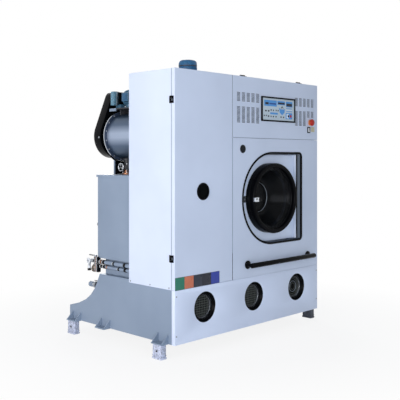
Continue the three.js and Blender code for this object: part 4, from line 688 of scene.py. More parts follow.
door = {"x": 1005, "z": 1011, "cutout": 330, "right": 1365, "trimCorner": 38, "cutoutCorner": 12,
        "trimWidth": 15, "trimLip": 3, "trimProud": 5, "trimBack": 6,
        "leafRadius": 322, "leafRight": 1346, "leafFront": 37, "leafBack": 52,
        "ring": 261, "ringFront": -41, "wall": 33, "rim": 222,
        "glassEnd": 150, "glassRadius": 150, "glassWall": 8,
        "stileX": 1350, "stileY": 13, "stileRadius": 14, "stileWidth": 48, "stileFront": 6}


def doorShape(grow, cornerRadius, right):
    d = door
    radius = d["cutout"] + grow
    edge = right + grow
    return (arc(d["x"], d["z"], radius, 90, 270, 64)
            + arc(edge - cornerRadius, d["z"] - radius + cornerRadius, cornerRadius, -90, 0, 8)
            + arc(edge - cornerRadius, d["z"] + radius - cornerRadius, cornerRadius, 0, 90, 8))


def makeTrim():
    bm = bmesh.new()
    d = door
    inner = doorShape(0, d["cutoutCorner"] - d["trimLip"], d["right"])
    outline = doorShape(d["trimWidth"], d["trimCorner"], d["right"])
    sheetPlate(bm, "y", outline, [inner], -d["trimProud"], -0.3, 1.8, 0, 3)
    outline = doorShape(d["trimLip"], d["cutoutCorner"], d["right"])
    sheetPlate(bm, "y", outline, [inner], -1.5, d["trimBack"], 0.6)
    finishPiece("doorTrim", bm, "cabinet", ["rubber"], ["door_trim"])


def makeLeaf():
    bm = bmesh.new()
    d = door
    outline = doorShape(-8, 8, d["leafRight"] + 8)
    sheetPlate(bm, "y", outline, [circle(d["x"], d["z"], 210, 72)], d["leafFront"], d["leafBack"], 2.0)
    slab(bm, (d["x"] - 312, d["leafFront"] - 9, d["z"] - 24), (d["x"] - 267, d["leafFront"] + 1, d["z"] + 24),
         2, 1)
    for height in (-15, 15):
        screwHead(bm, "y", (d["x"] - 302, d["leafFront"] - 9, d["z"] + height), 4.5, 2.2, 1)
    # The leaf takes the lighter white, painted light against the shade in its recess.
    finishPiece("doorLeaf", bm, "loading_door", ["leafWhitePaintedLight", "bright"], ["door_leaf"])


def makeRing():
    bm = bmesh.new()
    d = door
    f = d["ringFront"]
    inner = d["ring"] - d["wall"]
    profile = ([(d["rim"] + 0.3, 36.7), (d["rim"] + 0.3, f + 34), (inner, f + 28), (inner, f + 12)]
               + [(inner + 10 - 10 * math.cos(a), f + 12 - 12 * math.sin(a)) for a in (0.3, 0.7, 1.1, 1.4)]
               + [(inner + 12, f), (d["ring"] - 10, f)]
               + [(d["ring"] - 11 + 11 * math.sin(a), f + 11 - 11 * math.cos(a))
                  for a in (0.3, 0.7, 1.1, 1.5)]
               + [(d["ring"], f + 40), (d["ring"] - 1.5, f + 42), (d["ring"] - 1.5, f + 46),
                  (d["ring"], f + 48), (d["ring"], 36.7)])
    lathe(bm, "y", (d["x"], 0, d["z"]), profile, 96, closed=True)
    finishPiece("doorRing", bm, "loading_door", ["gloss"], ["door_ring"], 26)


def makeGlass():
    bm = bmesh.new()
    d = door
    front = d["ringFront"] + 34.3
    slope = (d["rim"] - 8 - d["glassRadius"]) / (d["glassEnd"] - front - 10)
    outer = lambda y: d["rim"] - 8 - slope * (y - front - 10)
    end = d["glassEnd"]
    profile = [(d["rim"], front), (d["rim"], front + 10), (outer(front + 10), front + 10),
               (outer(end - 22), end - 22), (outer(end - 12) - 1, end - 11), (d["glassRadius"] - 8, end - 3),
               (d["glassRadius"] - 30, end), (0, end + 4), (0, end + 4 - d["glassWall"]),
               (d["glassRadius"] - 32, end - d["glassWall"]),
               (d["glassRadius"] - 12, end - d["glassWall"] - 5),
               (outer(end - 22) - d["glassWall"], end - 24), (outer(front + 10) - d["glassWall"], front + 3),
               (outer(front + 10) - d["glassWall"] + 3, front)]
    lathe(bm, "y", (d["x"], 0, d["z"]), profile, 96, closed=True)
    bend = [(110, end - 7.6), (110, end - 10), (112, end - 11.4), (114, end - 10), (114, end - 7.6)]
    lathe(bm, "y", (d["x"], 0, d["z"]), bend, 96, 1, closed=True)
    finishPiece("doorGlass", bm, "loading_door", ["glass", "bead"], ["door_glass"], 40)


def makeStile():
    bm = bmesh.new()
    d = door
    x, y, r = d["stileX"], d["stileY"], d["stileRadius"]
    left = x + r - d["stileWidth"]
    face = math.degrees(math.asin((y - d["stileFront"]) / r))
    inside = left + 1
    outline = ([(inside + 4, d["stileFront"])] + arc(x, y, r, 180 + face, 450, 22)
               + [(inside, y + r), (inside, d["stileFront"] + 4)])
    half = d["leafRadius"] + 2
    sheetPlate(bm, "z", outline, [], d["z"] - half, d["z"] + half)
    lathe(bm, "z", (x, y, d["z"]), [(0, -350), (5, -350), (6, -348), (6, 348), (5, 350), (0, 350)], 24, 1)
    slab(bm, (left + 2, y, d["z"] - half + 4), (x, 36.7, d["z"] + half - 4), 1)
    # The stile's left side face, in the lighter white: painted light against the recess's shade.
    slab(bm, (left + 0.1, 9, d["z"] - half + 1), (left + 3, 36.5, d["z"] + half - 1), 0.8, 3)
    # A black strip down the stile's left edge fills the gap there and is also painted shadow that the stile
    # casts on the leaf.
    slab(bm, (left + 0.1, d["stileFront"] - 1.2, d["z"] - half + 0.6), (left + 12, 10.4, d["z"] + half - 0.6),
         1, 2)
    surfaces = ["stile", "bright", "gloss", "stileSidePaintedLight"]
    finishPiece("hingeStile", bm, "loading_door", surfaces, ["hinge_stile"])


latch = {"x": 778, "z": 1011, "back": -41.3}


def makeLatch():
    bm = bmesh.new()
    x, z, back = latch["x"], latch["z"], latch["back"]
    profile = [(0, back), (15, back), (15, back - 9), (12.5, back - 13), (0, back - 13)]
    lathe(bm, "y", (x, 0, z), profile, 32, 1)
    slab(bm, (x - 40, back - 12, z - 9), (x + 2, back - 4, z + 9), 2.5, 1)
    # The bright catch block at the arm's end, with its slot, and the small black thumb piece.
    block = roundedBox(x - 44.8, x + 4, z - 14.8, z + 14.8, 4)
    slot = roundedBox(x - 28, x - 12, z - 3, z + 10, 2)
    sheetPlate(bm, "y", block, [slot], back - 18, back - 1, 2, 0, 3)
    slab(bm, (x - 30, back - 8, z - 5), (x - 10, back - 3, z + 12), 0.5, 1)
    sheetPlate(bm, "y", roundedBox(x + 2, x + 35.8, z - 9, z + 9, 6), [], back - 20, back - 7, 3, 1, 3)
    profile = [(0, back - 17), (4, back - 17), (6, back - 15), (6, back - 12), (0, back - 12)]
    lathe(bm, "y", (x, 0, z), profile, 24)
    finishPiece("latchLever", bm, "latch", ["bright", "black"], ["latch_lever"])


rail = {"left": 722, "right": 1454, "z": 542, "standoff": 59, "flange": 30}


def makeRail():
    bm = bmesh.new()
    r = rail
    y = -r["standoff"]
    start, end = r["left"] - 26, r["right"] + 16
    profile = [(0, start), (12, start), (16.6, start + 2), (17.8, start + 6), (17.8, end - 6),
               (16.6, end - 2), (12, end), (0, end)]
    lathe(bm, "x", (0, y, r["z"]), profile, 32)
    for x in (r["left"], r["right"]):
        profile = [(0, y), (11, y), (11, -18), (14, -12), (r["flange"] - 3, -8), (r["flange"], -6),
                   (r["flange"], -0.3), (0, -0.3)]
        lathe(bm, "y", (x, 0, r["z"]), profile, 40)
        for turn in (0.5, 2.6, 4.7):
            screwHead(bm, "y", (x + 21 * math.cos(turn), -8.5, r["z"] + 21 * math.sin(turn)), 3.6, 1.8, 1)
    finishPiece("grabRail", bm, "cabinet", ["gloss", "castDark"], ["grab_rail"])


makeTrim()
makeLeaf()
makeRing()
makeGlass()
makeStile()
makeLatch()
makeRail()
print("loading door done")

# The cage is seen through the door's glass.
cage = {"x": 1005, "z": 1011, "radius": 402, "front": 84, "rear": 664, "mouth": 258, "wall": 3, "columns": 96,
        "rows": 22, "hole": 0.26, "lifters": (30, 150, 270), "lift": 72, "shaft": 30, "shaftEnd": 840}


def perforatedWall(bm):
    c = cage
    part = bmesh.new()
    points = [part.verts.new((c["radius"], 0,
                              c["front"] + 14 + (c["rear"] - c["front"] - 14) * i / c["rows"]))
              for i in range(c["rows"] + 1)]
    for pair in zip(points, points[1:]):
        part.edges.new(pair)
    bmesh.ops.spin(part, geom=part.verts[:] + part.edges[:], cent=(0, 0, 0), axis=(0, 0, 1),
                   angle=2 * math.pi, steps=c["columns"], use_merge=True)
    bmesh.ops.remove_doubles(part, verts=part.verts, dist=0.0005)
    panes = part.faces[:]
    width = 2 * math.pi * c["radius"] / c["columns"]
    bmesh.ops.inset_individual(part, faces=panes, thickness=width * (0.5 - c["hole"]), use_even_offset=True)
    bmesh.ops.delete(part, geom=panes, context="FACES")
    bmesh.ops.recalc_face_normals(part, faces=part.faces)
    bmesh.ops.solidify(part, geom=part.faces[:], thickness=c["wall"])
    bmesh.ops.recalc_face_normals(part, faces=part.faces)
    part.transform(Matrix.Translation((c["x"], 0, c["z"])) @ toAxis["y"])
    addPart(bm, part)


def makeCage():
    bm = bmesh.new()
    c = cage
    centre = (c["x"], 0, c["z"])
    perforatedWall(bm)
    front, rear, r, w = c["front"], c["rear"], c["radius"], c["wall"]
    profile = [(r, front + 15), (r, front + 13), (r - 4, front + 5), (r - 14, front), (c["mouth"] + 4, front),
               (c["mouth"], front + 3), (c["mouth"], front + 12), (c["mouth"] + w, front + 12),
               (c["mouth"] + w, front + 5), (r - 15, front + w), (r - w, front + 15)]
    lathe(bm, "y", centre, profile, 96, closed=True)
    back = [(0, rear), (r, rear), (r, rear - 8), (r - w, rear - 8), (r - w, rear - w)]
    for radius in (330, 250, 170, 90):
        back += [(radius + 12, rear - w), (radius + 6, rear - w - 4), (radius - 6, rear - w - 4),
                 (radius - 12, rear - w)]
    lathe(bm, "y", centre, back + [(0, rear - w)], 96)
    profile = [(0, rear - 1), (90, rear - 1), (70, rear + 14), (36, rear + 20), (c["shaft"], rear + 22),
               (c["shaft"], c["shaftEnd"] - 2), (c["shaft"] - 2, c["shaftEnd"]), (0, c["shaftEnd"])]
    lathe(bm, "y", centre, profile, 48)
    boltCircle(bm, hexHead, "y", (c["x"], rear - w, c["z"]), 55, 6, 0, 9, 6, 0, -1)
    for angle in c["lifters"]:
        rib = [(-48, r - 6), (-40, r - 26), (-18, r - c["lift"] + 14), (-9, r - c["lift"]),
               (9, r - c["lift"]), (18, r - c["lift"] + 14), (40, r - 26), (48, r - 6)]
        turn = turnAt(centre, math.radians(angle), "Y")
        sheetPlate(bm, "y", rib, [], front + 30, rear - 4, 3, 0, 2, turn)
    finishPiece("cageDrum", bm, "cage_body", ["cage"], ["cage"], 30)


makeCage()
print("cage done")

# Fittings of the column door.
sight = {"x": 261, "z": 1085, "radius": 58.5}


def makeSightRing():
    bm = bmesh.new()
    r = sight["radius"]
    profile = [(r - 12, -6), (r - 11, -7), (r - 4, -7), (r - 1, -5.6), (r, -3.6), (r, -0.3), (r - 6.3, -0.3),
               (r - 6.3, 9), (r - 9, 9), (r - 9, -1), (r - 12, -1)]
    lathe(bm, "y", (sight["x"], 0, sight["z"]), profile, closed=True)
    finishPiece("sightRing", bm, "column_door_body", ["gloss"], ["column_glass_ring"])


def makeSightGlass():
    bm = bmesh.new()
    r = sight["radius"] - 9.3
    profile = [(0, -2.6), (r * 0.5, -2.2), (r * 0.85, -1.2), (r, -0.5), (r, 8), (0, 8)]
    lathe(bm, "y", (sight["x"], 0, sight["z"]), profile)
    finishPiece("sightGlass", bm, "column_door_body", ["sight"], ["column_glass"])


bung = {"x": 670, "z": 1375}


def makeBung():
    bm = bmesh.new()
    centre = (bung["x"], 0, bung["z"])
    profile = [(0, -6), (20, -6), (25, -5), (29, -3), (30, -1.2), (30, -0.3), (21, -0.3), (21, 7), (0, 7)]
    lathe(bm, "y", centre, profile, 48)
    band(bm, "y", centre, 10, 14, -6.4, -5.6, 48)
    finishPiece("cableBung", bm, "cabinet", ["matt"], ["cable_bung"])


tiles = {"left": 2, "pitch": 84, "width": 83, "low": 452, "high": 532, "front": -2.3, "corner": 3,
         "surfaces": ("tileGreen", "tileOrange", "tileSlate", "tileNight", "tileBlue")}


def makeTiles():
    bm = bmesh.new()
    t = tiles
    slab(bm, (1, -1.3, 451), (423, -0.3, 533), 0.3, 5)
    for i in range(len(t["surfaces"])):
        x = t["left"] + i * t["pitch"]
        tile = roundedBox(x, x + t["width"], t["low"], t["high"], t["corner"], 4)
        sheetPlate(bm, "y", tile, [], t["front"], -0.8, 0.5, i)
    finishPiece("tileStrip", bm, "column_door_body", [*t["surfaces"], "matt"], ["tile_strip"])


# Black corner hinges. Each half rides with the panel that it is screwed to.
hinge = {"heights": (1690, 655), "tops": (700, 1371), "length": 48, "reach": 21, "root": 7.3, "gap": 0.3,
         "leaf": 3.6, "pin": (-7.5, 30), "knuckle": 6}


# The swinging half has the two outer knuckles, and the fixed half has the middle one.
def hingeHalf(bm, swinging, toPlace):
    h = hinge
    half, inner = h["length"] / 2, h["length"] / 6
    spans = [(-half, -inner), (inner, half)] if swinging else [(h["gap"] - inner, inner - h["gap"])]
    side = -1 if swinging else 1
    edge, root, far = [h["pin"][1] + side * h[part] for part in ("gap", "root", "reach")]
    low, high = sorted((root, far))
    slab(bm, (-h["leaf"], low, -half), (0.6, high, half), 0.8, turn=toPlace)
    low, high = sorted((edge, root + side * 0.4))
    for bottom, top in spans:
        slab(bm, (h["pin"][0], low, bottom), (0.6, high, top), 0.5, 0, 1, toPlace)
        lathe(bm, "z", (*h["pin"], 0), rectangle(0, h["knuckle"], bottom, top), 24, edge=0.6, turn=toPlace)


def makeHinges():
    toRoof = Matrix(((0, 0, 1, 0), (0, 1, 0, 0), (-1, 0, 0, 1895), (0, 0, 0, 1)))
    onColumn = [Matrix.Translation((0, 0, z)) for z in hinge["heights"]]
    onRoof = [Matrix.Translation((x, 0, 0)) @ toRoof for x in hinge["tops"]]
    for name, swinging, body, places in (("columnHinges", True, "column_door_body", onColumn),
                                         ("cabinetHinges", False, "cabinet", onColumn),
                                         ("flapHinges", True, "control_flap_body", onRoof),
                                         ("roofHinges", False, "cabinet", onRoof)):
        bm = bmesh.new()
        for toPlace in places:
            hingeHalf(bm, swinging, toPlace)
        finishPiece(name, bm, body, ["rubber"])


makeSightRing()
makeSightGlass()
makeBung()
makeTiles()
makeHinges()
print("column door done")

# Control flap with its louvres.
flap = {"left": 558.2, "right": 1590, "low": 1456.2, "high": 1895, "sheet": 3, "depth": 30, "leftVents": 607,
        "rightVents": 1291, "pitch": 53, "columns": 5, "width": 38, "upper": (1716, 1783),
        "lower": (1564, 1684), "shortLow": 1634, "slot": 4.2, "slotPitch": 8.4,
        "window": (894, 1266, 1597, 1753), "switch": (1456.5, 1485.5, 1514, 1554),
        "stopHole": (1490, 1593, 12.3)}


def ventRows(low, high):
    f = flap
    count = int((high - low - f["slot"]) // f["slotPitch"]) + 1
    return [(low + i * f["slotPitch"], low + i * f["slotPitch"] + f["slot"]) for i in range(count)]


def ventHoles():
    f = flap
    holes = []
    for side in (f["leftVents"], f["rightVents"]):
        for i in range(f["columns"]):
            x = side + i * f["pitch"]
            short = side == f["rightVents"] and i >= f["columns"] - 2
            rows = ventRows(*f["upper"]) + ventRows(f["shortLow"] if short else f["lower"][0], f["lower"][1])
            holes += [rectangle(x, x + f["width"], low, high) for low, high in rows]
    return holes


def makeFlap():
    bm = bmesh.new()
    f = flap
    x, z, radius = f["stopHole"]
    holes = ventHoles() + [rectangle(*f["window"]), rectangle(*f["switch"]), circle(x, z, radius, 32)]
    foldedPanel(bm, f["left"], f["right"], f["low"], f["high"], holes, f["sheet"], f["depth"], 0.5, 1)
    last = (f["columns"] - 1) * f["pitch"] + f["width"]
    for side in (f["leftVents"], f["rightVents"]):
        backing = rectangle(side - 6, side + last + 6, f["lower"][0] - 6, f["upper"][1] + 6)
        hole = [circle(x, z, radius + 0.3, 32)] if side == f["rightVents"] else []
        sheetPlate(bm, "y", backing, hole, 12, 13, 0.2, 1)
    # A dark strip down the joint beside the column door.
    slab(bm, (f["left"] + 0.1, -0.3, f["low"] + 2), (f["left"] + 2, 2, f["high"] - 2), 0.3, 1)
    surfaces = ["white", "darkPaint"]
    finishPiece("controlFlap", bm, "control_flap_body", surfaces, ["control_flap"])


display = {"left": 874, "right": 1286, "low": 1583, "high": 1767, "proud": 8, "frame": 14,
           "plates": ((906, 1055, 1697, 1742, "membraneBlue", 0.5),
                      (918, 957, 1709, 1725, "membraneDark", 1.2),
                      (966, 1048, 1711, 1722, "membraneDeep", 0.9),
                      (1064, 1156, 1712, 1742, "membraneBlue", 0.5),
                      (1070, 1152, 1717, 1731, "membraneDark", 1.0),
                      (1170, 1250, 1700, 1742, "membraneBlue", 0.5),
                      (1174, 1244, 1706, 1728, "membraneDark", 1.2),
                      (977, 1068, 1637, 1651, "membraneBlue", 0.7),
                      (1172, 1246, 1686, 1691, "membraneBlue", 0.5),
                      (1172, 1246, 1675, 1680, "membranePale", 0.5),
                      (1172, 1246, 1665, 1670, "membraneBlue", 0.5),
                      (1166, 1248, 1608, 1655, "membraneBlue", 0.5),
                      (1176, 1204, 1614, 1648, "membranePale", 0.9)),
           "keys": ((925, 1661, 9), (958, 1661, 9), (987, 1669, 6), (1014, 1668, 5), (1047, 1668, 5),
                    (1071, 1668, 5), (905, 1625, 5), (929, 1626, 5), (956, 1622, 8), (986, 1621, 5),
                    (1014, 1621, 6), (1046, 1621, 6), (1107, 1621, 6), (1139, 1620, 6)),
           "buttons": ((1200, 1631, 10, "membraneDark"), (1228, 1631, 11, "stopRed"))}


def makeDisplay():
    bm = bmesh.new()
    d = display
    surfaces = ["frameBlack", "membrane", "membraneBlue", "membraneDeep", "membraneDark", "membranePale",
                "stopRed", "castDark"]
    front, field, margin = -d["proud"], -d["proud"] + 3, d["frame"]
    left, right = d["left"] + margin, d["right"] - margin
    low, high = d["low"] + margin - 3, d["high"] - margin + 3
    rim = roundedBox(d["left"], d["right"], d["low"], d["high"], 5, 5)
    sheetPlate(bm, "y", rim, [roundedBox(left, right, low, high, 3, 4)], front, -0.3, 1.6, 0, 3)
    sheetPlate(bm, "y", roundedBox(left - 1, right + 1, low - 1, high + 1, 3, 4), [], field, -0.6, 0.3, 1)
    slab(bm, (d["left"] + 22, -0.6, d["low"] + 22), (d["right"] - 22, 26, d["high"] - 22), 2, 7)
    for left, right, low, high, surface, height in d["plates"]:
        plate = roundedBox(left, right, low, high, min(3, (high - low) / 3), 4)
        sheetPlate(bm, "y", plate, [], field - height, field + 0.4, 0.2, surfaces.index(surface), 1)
    arrow = [(1121, 1704), (1104, 1688), (1108, 1684), (1121, 1696), (1134, 1684), (1138, 1688)]
    sheetPlate(bm, "y", arrow, [], field - 1.0, field, 0.2, 4, 1)
    shield = [(1081, 1694), (1100, 1680), (1142, 1680), (1154, 1684), (1150, 1656), (1121, 1634),
              (1091, 1656)]
    sheetPlate(bm, "y", shield, [], field - 0.6, field + 0.4, 0.3, 2, 1)
    for x, z, size in d["keys"]:
        key = roundedBox(x - size, x + size, z - 5.5, z + 5.5, 2.2, 3)
        sheetPlate(bm, "y", key, [], field - 1.4, field + 0.4, 0.5, 4, 1)
    for x, z, radius, surface in d["buttons"]:
        button = [(radius, field), (radius, field - 1), (radius - 1, field - 1.8), (0, field - 1.9)]
        lathe(bm, "y", (x, 0, z), button, 28, surfaces.index(surface))
    finishPiece("displayUnit", bm, "control_flap_body", surfaces, ["display_panel"])


stop = {"x": 1490, "z": 1593, "radius": 27, "back": -13}


def makeStop():
    bm = bmesh.new()
    place = (stop["x"], 0, stop["z"])
    # The collar behind the button is amber, painted light for the button's lit side.
    profile = [(9, 20), (9, -6), (20, -6), (23, -4.6), (24, -3), (24, -0.3), (12, -0.3), (12, 24), (9, 24)]
    lathe(bm, "y", place, profile, 48, 2, closed=True)
    band(bm, "y", place, 12, 19, 3.2, 9, 6)
    sheetPlate(bm, "y", roundedBox(1503, 1550, 1519, 1558, 3, 4), [], -1, -0.2, 0.3, 1)
    surfaces = ["matt", "labelPlain", "stopCollarPaintedLight"]
    finishPiece("stopBase", bm, "control_flap_body", surfaces, ["stop_base"])
    bm = bmesh.new()
    r, back = stop["radius"], stop["back"]
    front = back - 20
    profile = ([(0, front), (10, front + 0.3), (16, front + 1.2), (21, front + 3), (24.6, front + 6),
                (26.4, front + 9), (r, front + 12), (26.6, front + 15), (r - 3, back - 2), (20, back),
                (12, back), (8, back), (8, 10), (0, 10)])
    lathe(bm, "y", place, profile)
    # The orange band round the button's rim is a painted highlight.
    profile = [(25.4, front + 9), (27, front + 11.4), (26.8, front + 14.5), (24.4, back - 3)]
    lathe(bm, "y", place, profile, 64, 1)
    finishPiece("stopButton", bm, "stop_button_body", ["stopRed", "stopRimPaintedLight"], ["stop_button"])


switch = {"x": 1471, "z": 1534, "width": 37, "height": 48}


def makeSwitch():
    bm = bmesh.new()
    s = switch
    halfWidth, halfHeight = s["width"] / 2, s["height"] / 2

    def bezel(inset, radius, steps):
        across, up = halfWidth - inset, halfHeight - inset
        return roundedBox(s["x"] - across, s["x"] + across, s["z"] - up, s["z"] + up, radius, steps)

    sheetPlate(bm, "y", bezel(0, 3, 4), [bezel(6, 1.5, 3)], -4, -0.3, 1.2)
    sheetPlate(bm, "y", bezel(4.3, 2, 3), [bezel(6, 1.5, 3)], -0.6, 18, 0.4)
    across, up = halfWidth - 5, halfHeight - 5
    slab(bm, (s["x"] - across, 18, s["z"] - up), (s["x"] + across, 22, s["z"] + up), 1)
    finishPiece("switchBezel", bm, "control_flap_body", ["matt"], ["switch_frame"])
    bm = bmesh.new()
    half = s["height"] / 2 - 8
    side = [(2, half), (-2.6, half), (-2.8, half * 0.8), (-1.9, half * 0.4), (-2, 0), (-3.4, -half * 0.4),
            (-6, -half * 0.8), (-7.6, -half), (-3, -half), (6, -3), (6, 3)]
    lift = Matrix.Translation((0, 0, s["z"]))
    sheetPlate(bm, "x", side, [], s["x"] - 11.5, s["x"] + 11.5, 0.6, 0, 2, lift)
    finishPiece("rocker", bm, "rocker_body", ["rockerWhite"], ["rocker_switch"])


makeFlap()
makeDisplay()
makeStop()
makeSwitch()
print("controls done")

# Spin-disc filter and its belt drive.
filterSet = {"x": 278, "z": 1475, "radius": 167, "front": 300, "rear": 885, "shellRear": 845, "wall": 4,
             "flange": 188, "thick": 16, "bolts": 16, "motorZ": 1760, "plateZ": 1675, "stillTop": 1188.3,
             "motorFront": 640, "motorRear": 800, "motorRadius": 65, "gearFront": 838, "gearRear": 908,
             "gearHalf": 48, "beltY": 968.5, "pulley": 120, "shaft": 14, "guardFront": 930, "guardRear": 1007,
             "guardRadius": 165, "guardTop": 60}


# The loop round two circles, as a belt or a guard follows them.
def loopOutline(first, firstRadius, second, secondRadius, steps):
    run, rise = second[0] - first[0], second[1] - first[1]
    heading = math.degrees(math.atan2(rise, run))
    spread = math.degrees(math.acos((firstRadius - secondRadius) / math.hypot(run, rise)))
    return (arc(*first, firstRadius, heading + spread, heading + 360 - spread, steps * 2)
            + arc(*second, secondRadius, heading - spread, heading + spread, steps))


def makeFilter():
    bm = bmesh.new()
    f = filterSet
    centre = (f["x"], 0, f["z"])
    r, front, rear = f["radius"], f["front"], f["shellRear"]
    head = [(r * math.sin(a), front + 62 - 62 * math.cos(a))
            for a in (0, 0.25, 0.5, 0.75, 1.0, 1.2, 1.4, math.pi / 2)]
    profile = head + [(r, rear + 2), (r - f["wall"], rear + 2), (r - f["wall"], front + 64), (0, front + 6)]
    lathe(bm, "y", centre, profile, 96)
    for y in (front + 66, 560):
        profile = [(r - 0.5, y), (r + 1.4, y + 2), (r + 1.4, y + 5), (r - 0.5, y + 7)]
        lathe(bm, "y", centre, profile, 96, closed=True)
    # The flange's front ring is in the darker blue, as painted shade.
    profile = [(r - 1, rear), (f["flange"] - 1.5, rear), (f["flange"], rear + 1.5), (f["flange"], rear + 7.5),
               (r - 1, rear + 7.5)]
    lathe(bm, "y", centre, profile, 96, 5, closed=True)
    back = rear + f["thick"]
    profile = [(f["shaft"] + 4, rear + 8), (f["flange"], rear + 8), (f["flange"], back - 1),
               (f["flange"] - 1, back), (60, back), (56, back - 0.5), (f["shaft"] + 4, back - 0.5)]
    lathe(bm, "y", centre, profile, 96, 2, closed=True)
    end = f["rear"] + f["thick"]
    profile = [(f["shaft"] + 4, back - 2), (62, back - 2), (58, end - 2), (56, end), (f["shaft"] + 4, end)]
    lathe(bm, "y", centre, profile, 64, 3, closed=True)
    for side in (-1, 1):
        slab(bm, (f["x"] + side * 100 - 10, back - 1, f["z"] - 36),
             (f["x"] + side * 100 + 10, end, f["z"] + 36), 1.5, 3)
    for y, shape in ((rear, (6.5, 6.6, 6, -1)), (back, (8, 5.6, 3, 1))):
        boltCircle(bm, hexHead, "y", (f["x"], y, f["z"]), 177.5, f["bolts"], math.pi / f["bolts"], *shape)
    low = f["z"] + r - 12
    for y in (f["motorFront"] + 30, rear - 40):
        slab(bm, (f["x"] - 70, y, low), (f["x"] + 70, y + 8, f["plateZ"] + 1), 1, 3)
    plate = roundedBox(f["x"] - 96, f["x"] + 96, f["motorFront"] + 10, f["gearRear"], 8, 5)
    sheetPlate(bm, "z", plate, [], f["plateZ"], f["plateZ"] + 8, 1.2, 3)
    slab(bm, (f["x"] - 97, f["gearRear"] - 78, f["plateZ"] - 14),
         (f["x"] - 88, f["gearRear"] - 2, f["plateZ"] + 7), 1, 4)
    low = f["stillTop"]
    for y, radius, reach in ((390, r - 1, 45), (858, f["flange"] + 0.5, 50)):
        cradle = arc(f["x"], f["z"], radius, -reach, reach - 180, 40)
        side, high = cradle[0][0] - f["x"], cradle[0][1]
        edge = ([(f["x"] + 116, low)] + cradle
                + [(f["x"] - side, high - 12), (f["x"] - 78, high - 42), (f["x"] - 78, low)])
        sheetPlate(bm, "y", edge, [], y, y + 10, 0.8, 1)
        slab(bm, (f["x"] - 80, y - 4, low), (f["x"] + 120, y + 14, low + 5), 1, 1)
        slab(bm, (f["x"] - 87, y + 1, low), (f["x"] - 77, y + 9, high - 10), 1, 4)
    surfaces = ["shell", "gloss", "bright", "castDark", "grey", "flangePaintedShade", "zinc"]
    finishPiece("filterDrum", bm, "cabinet", surfaces, ["filter_shell"])


def makeFins(bm, x, z, inner, outer, front, rear, count, finish):
    for i in range(count):
        turn = turnAt((x, 0, z), 2 * math.pi * (i + 0.5) / count, "Y")
        slab(bm, (inner, front, -1.4), (outer, rear, 1.4), 0.8, finish, 1, turn)


def makeFilterMotor():
    bm = bmesh.new()
    f = filterSet
    x, z, r, half = f["x"], f["motorZ"], f["motorRadius"], f["gearHalf"]
    front, rear = f["motorFront"], f["motorRear"]
    profile = [(0, front), (r * 0.7, front + 0.5), (r * 0.84, front + 3), (r * 0.93, front + 10),
               (r * 0.95, front + 44), (r * 0.86, front + 50), (r * 0.86, rear - 18), (r - 1, rear - 17),
               (r - 1, rear - 5), (r * 0.6, rear), (0, rear)]
    lathe(bm, "y", (x, 0, z), profile, 48)
    boltCircle(bm, screwHead, "y", (x, front + 0.8, z), 36, 10, 0, 5, 0.8, 1)
    makeFins(bm, x, z, r * 0.82, r - 0.5, front + 50, rear - 16, 30, 0)
    profile = [(0, rear - 2), (40, rear - 2), (40, rear + 4), (32, rear + 6), (32, 834), (38, 836), (38, 854),
               (0, 854)]
    lathe(bm, "y", (x, 0, z), profile, 32, 5)
    slab(bm, (x - half, f["gearFront"] + 14, z - half), (x + half, f["gearRear"], z + half), 4, 5, 3)
    slab(bm, (x - 88, f["gearFront"] + 24, z - half - 4), (x - half + 1, f["gearRear"] - 4, z + half + 4), 4,
         4, 3)
    slab(bm, (x - 90.5, f["gearFront"] + 30, z - half + 3), (x - 87, f["gearRear"] - 10, z + half - 3), 1.4,
         4)
    slab(bm, (x - 64, f["gearFront"] + 21.4, z - half - 5), (x - 56, f["gearRear"] - 3, z + half + 5), 1.4, 1)
    for dx in (-36, 36):
        for dz in (-36, 36):
            hexHead(bm, "y", (x + dx, f["gearRear"] - 1, z + dz), 6, 4, 2)
            hexHead(bm, "x", (x + half - 1, (f["gearFront"] + f["gearRear"]) / 2 + dx * 0.6, z + dz), 4, 3, 1)
    low = f["plateZ"] + 8.3
    slab(bm, (x - 60, front + 55, low), (x + 60, rear - 20, low + 9), 2)
    slab(bm, (x - 44, front + 60, low + 6), (x + 44, rear - 26, z - 50), 2)
    slab(bm, (x - 40, f["gearFront"] + 6, low), (x + 40, f["gearRear"] - 8, z - half + 3), 2)
    slab(bm, (x - r - 26, front + 60, z - 30), (x - r + 14, rear - 30, z + 34), 4, 0, 3)
    slab(bm, (x - r - 27, front + 63, z - 27), (x - r - 22, rear - 33, z + 31), 2, 2)
    for dx in (-52, 52):
        for y in (front + 64, rear - 30):
            hexHead(bm, "z", (x + dx, y, low + 9), 7, 5, 1)
    surfaces = ["blue", "zinc", "blueDark", "castDark", "bluePale", "gloss"]
    finishPiece("filterMotor", bm, "cabinet", surfaces, ["filter_motor"])


def groovedWheel(bm, x, z, radius, shaftFront, boss):
    f = filterSet
    front = [(0, -15), (boss, -15), (boss + 2, -9), (radius - 16, -8), (radius - 12, -15), (radius - 1, -15),
             (radius, -14), (radius, -12), (radius - 9, -4)]
    rear = [(across, -along) for across, along in reversed(front)]
    lathe(bm, "y", (x, f["beltY"], z), front + rear)
    band(bm, "y", (x, 0, z), 0, f["shaft"], shaftFront, f["beltY"], 24, 1)


